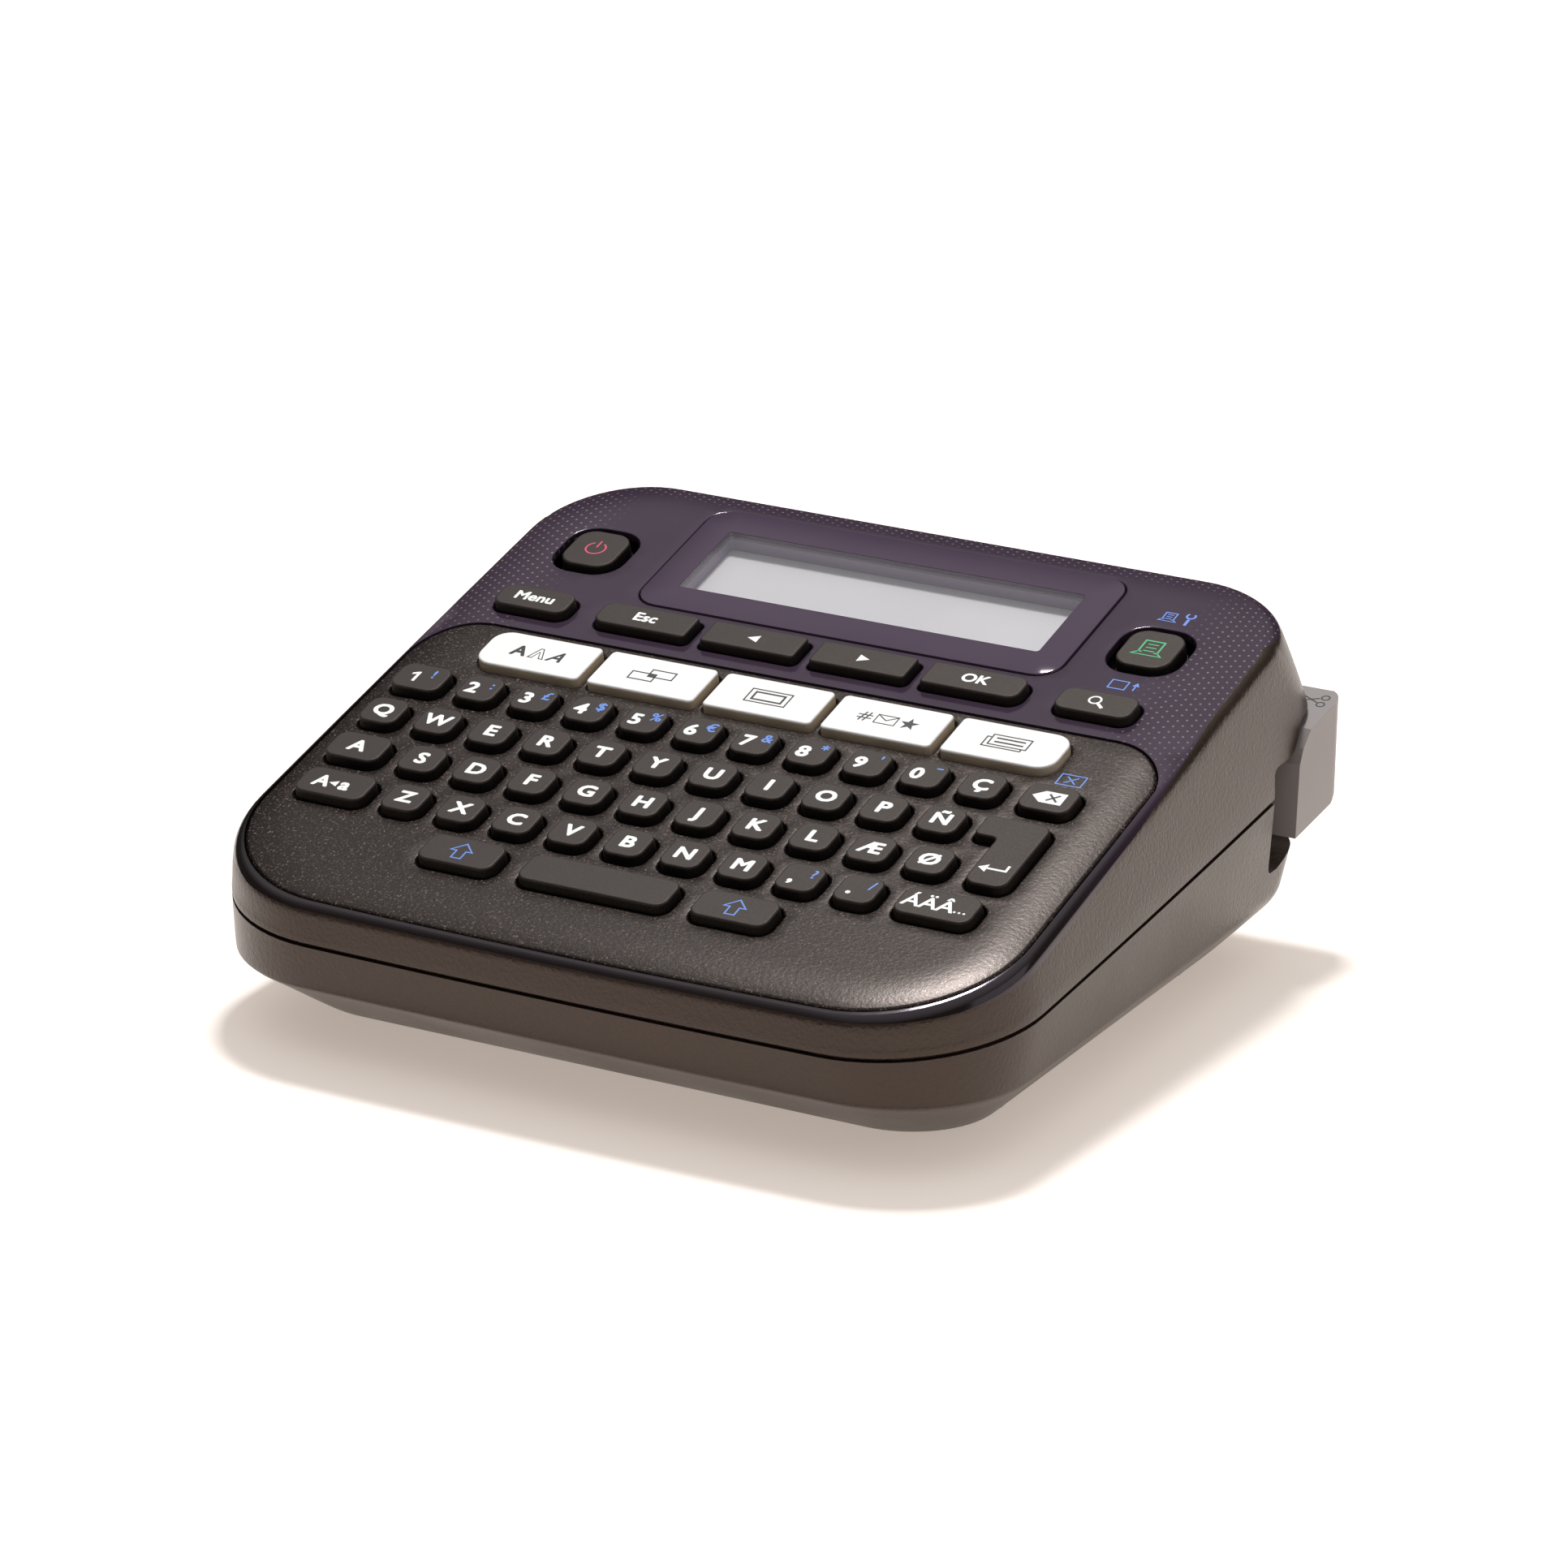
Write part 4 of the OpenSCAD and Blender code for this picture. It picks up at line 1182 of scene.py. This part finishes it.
def panel_legends():
    """Small blue marks printed on the panel and the plate themselves."""
    with Ink("panel_marks", INK_BLUE, "casing", "panel") as mark:
        page_icon(mark, 53.9, 53.6, 0.68, 0.26)
        mark.stroke([(57.6, 51.8), (57.6, 53.9)], 0.55)
        mark.stroke(ring(57.6, 55.0, 0.8, 130, 410, 12), 0.4)
        mark.stroke(rect(53.2, 56.4, 29.0, 31.6), 0.26, closed=True)
        mark.stroke([(58.0, 29.2), (58.0, 30.8)], 0.3)
        mark.polygon([(57.3, 30.6), (58.7, 30.6), (58.0, 31.8)])
    with Ink("plate_mark", INK_BLUE, "casing", "plate", 60.25, -0.4) as mark:
        mark.stroke(rect(-2.35, 2.35, -1.6, 1.6), 0.26, closed=True)
        for side in (-1, 1):
            mark.stroke([(-1.05, -side), (1.05, side)], 0.28)


# ---- carried-over CAD nodes

def bevelled(node, width, segments=2, angle=30):
    """Rounds the edges of a CAD node with a modifier, which leaves its mesh as it was."""
    made = frame["nodes"][node]
    weld = made.modifiers.new("weld", "WELD")
    weld.merge_threshold = MERGE
    soft = made.modifiers.new("soft_edges", "BEVEL")
    soft.width = width * MM
    soft.segments = segments
    soft.limit_method = "ANGLE"
    soft.angle_limit = math.radians(angle)


def dress_frame():
    for material, nodes in (
            (CASING, "underside_cover"), (INNER, "battery_tray tape_bay adapter_socket"),
            (RUBBER, "rubber_feet key_mat platen_roller"),
            (STEEL, "casing_screws print_head heat_sink feed_motor lever_pin lever_spring "
                    "cutter_blade blade_pin battery_springs"),
            (BRASS, "motor_pinion battery_contacts"), (PALE, "idler_gear platen_gear ribbon_drive"),
            (CLEAR_SHELL, "cassette_shell"), (TAPE, "tape_roll"),
            (RIBBON, "ribbon_spool takeup_spool"), (BOARD, "main_board"),
            (SLEEVE, "battery_cells"), (LEVER, "cutter_lever")):
        for node in nodes.split():
            for place in frame["nodes"][node].material_slots:
                place.material = material
    bevelled("cutter_lever", 0.5, 3)
    for node, width in (("underside_cover", 0.3), ("cassette_shell", 0.4), ("tape_bay", 0.25)):
        bevelled(node, width)
    bevelled("rubber_feet", 0.3, angle=40)


# ---- cuts in the shells

NOTCH = [(48, 20.6), (48, 38.4), (48.5, 39.1), (49.5, 39.6), (55, 39.7), (56.6, 40.3),
         (58.2, 41.8), (59.4, 43.6), (60.1, 44.7), (61.2, 45.4), (90, 49.4), (90, 21.2), (60, 21.2),
         (56.5, 20.6), (52, 19.4), (49.2, 19.4), (48.4, 19.8)]
NOTCH_X = 64
LEDGE_X, LEDGE_Y, LEDGE_LOW, LEDGE_HIGH = 62, 47, 17, 18.8


def notch_ledge():
    """Shelf inside the lower casing that closes the bottom of the lever's notch."""
    level = [profile(c, find_u(c, lambda p: p.z - LEDGE_LOW)) for c in COLUMNS]
    edge = [(p.x, p.y) for p in inward(level, 1.0) if p.x > LEDGE_X and p.y > LEDGE_Y]
    outline = [(LEDGE_X, LEDGE_Y)] + edge + [(LEDGE_X, edge[-1][1])]
    b = Build()
    b.solid(*(b.loop([(x * MM, y * MM, z * MM) for x, y in outline])
              for z in (LEDGE_LOW, LEDGE_HIGH)))
    b.object("notch_ledge", [CASING], "casing", slot="casing")


def cut_shells(lower, upper):
    """The lever's notch, the tape slot, the socket, the underside opening and the screw holes."""
    far, gap, cover_r = 120, 0.3, 6
    low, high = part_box("adapter_socket")
    socket = ring((low.x + high.x) / 2 / MM, (low.z + high.z) / 2 / MM, 4.3, steps=40)
    low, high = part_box("underside_cover")
    cover = rounded(rect(low.x / MM, high.x / MM, low.y / MM, high.y / MM), [cover_r] * 4, gap)
    slot_x, slot_w, slot_low, slot_high = 53.5, 4.6, 6.5, 25
    slot = rounded(rect(slot_x - slot_w / 2, slot_x + slot_w / 2, slot_low, slot_high), [0.8] * 4)
    cut(upper, prism(NOTCH, NOTCH_X, far, SIDE))
    cut(lower, prism(NOTCH, NOTCH_X, far, SIDE), prism(cover, -5, 20, PLAN),
        prism(slot, 60, far, BACK), prism(socket, 45, far, BACK),
        *(prism(ring(x, y, 2.7, steps=32), -5, 10.9, PLAN) for x, y in screw_centres()))


def screw_centres():
    boxes = [span(island) for island in islands("casing_screws")]
    return sorted(((x0 + x1) / 2 / MM, (y0 + y1) / 2 / MM) for x0, x1, y0, y1 in boxes)


# ---- stage

def studio():
    floor = Build()
    floor.face(floor.loop([(x, y, 0) for x, y in rect(-3, 3, -3, 3)]))
    made = floor.bare("floor")
    paper = Nodes("floor_paper", (0.93, 0.87, 0.82), 0.7, Emission_Color=(1, 0.86, 0.76, 1),
                  Emission_Strength=0.42)
    paper.color(paper.noise(6, 3), (0.92, 0.86, 0.81), (0.94, 0.89, 0.84))
    made.data.materials.append(paper.material)

    world = bpy.data.worlds.new("studio")
    bpy.context.scene.world = world
    sky = Tree(world)
    height = sky.add("ShaderNodeSeparateXYZ", Vector=sky.place("Generated")).outputs[2]
    sky.put(sky.tree.nodes["Background"].inputs["Strength"],
            sky.ramp(height, 0.35, 0.93, 0.6, 13.0))

    for name, place, target, size, watts in (
            ("side_light", (1.1, 0.15, 0.35), (0.05, 0, 0.03), (0.9, 0.6), 1.1),
            ("top_light", (-0.14, 0.3, 1.0), (0.02, 0, 0.04), (0.16, 0.14), 9)):
        light = bpy.data.lights.new(name, "AREA")
        light.shape = "RECTANGLE"
        light.size, light.size_y = size
        light.energy = watts
        lamp = linked(name, light)
        lamp.location = place
        lamp.rotation_euler = (Vector(target) - lamp.location).to_track_quat("-Z", "Y").to_euler()
    bpy.context.scene.view_settings.view_transform = "Standard"


def camera():
    """Camera at the view's angle: right of the front, a little above, with a long lens."""
    azimuth, elevation, roll = (math.radians(a) for a in (27.783, 19.781, 0.963))
    distance, shift_x, shift_y, sensor, focal = 1.2327, 0.004114, 0.033273, 36, 4.3990683
    lens = bpy.data.cameras.new("camera")
    lens.sensor_width = sensor
    lens.lens = sensor * focal
    lens.clip_start, lens.clip_end = 0.05, 20
    made = linked("camera", lens)
    made.matrix_world = (
        Matrix.Translation((0, 0, FOOT * MM)) @ Matrix.Rotation(azimuth, 4, "Z")
        @ Matrix.Rotation(math.pi / 2 - elevation, 4, "X") @ Matrix.Rotation(roll, 4, "Z")
        @ Matrix.Translation((shift_x, shift_y, distance)))
    bpy.context.scene.camera = made


def main():
    lower, upper = lower_shell(), upper_shell()
    cut_shells(lower, upper)
    notch_ledge()
    top_shell()
    keyboard()
    window()
    keys()
    letter_legends()
    wide_legends()
    white_legends()
    panel_legends()
    lever_legend()
    dress_frame()
    studio()
    camera()


main()
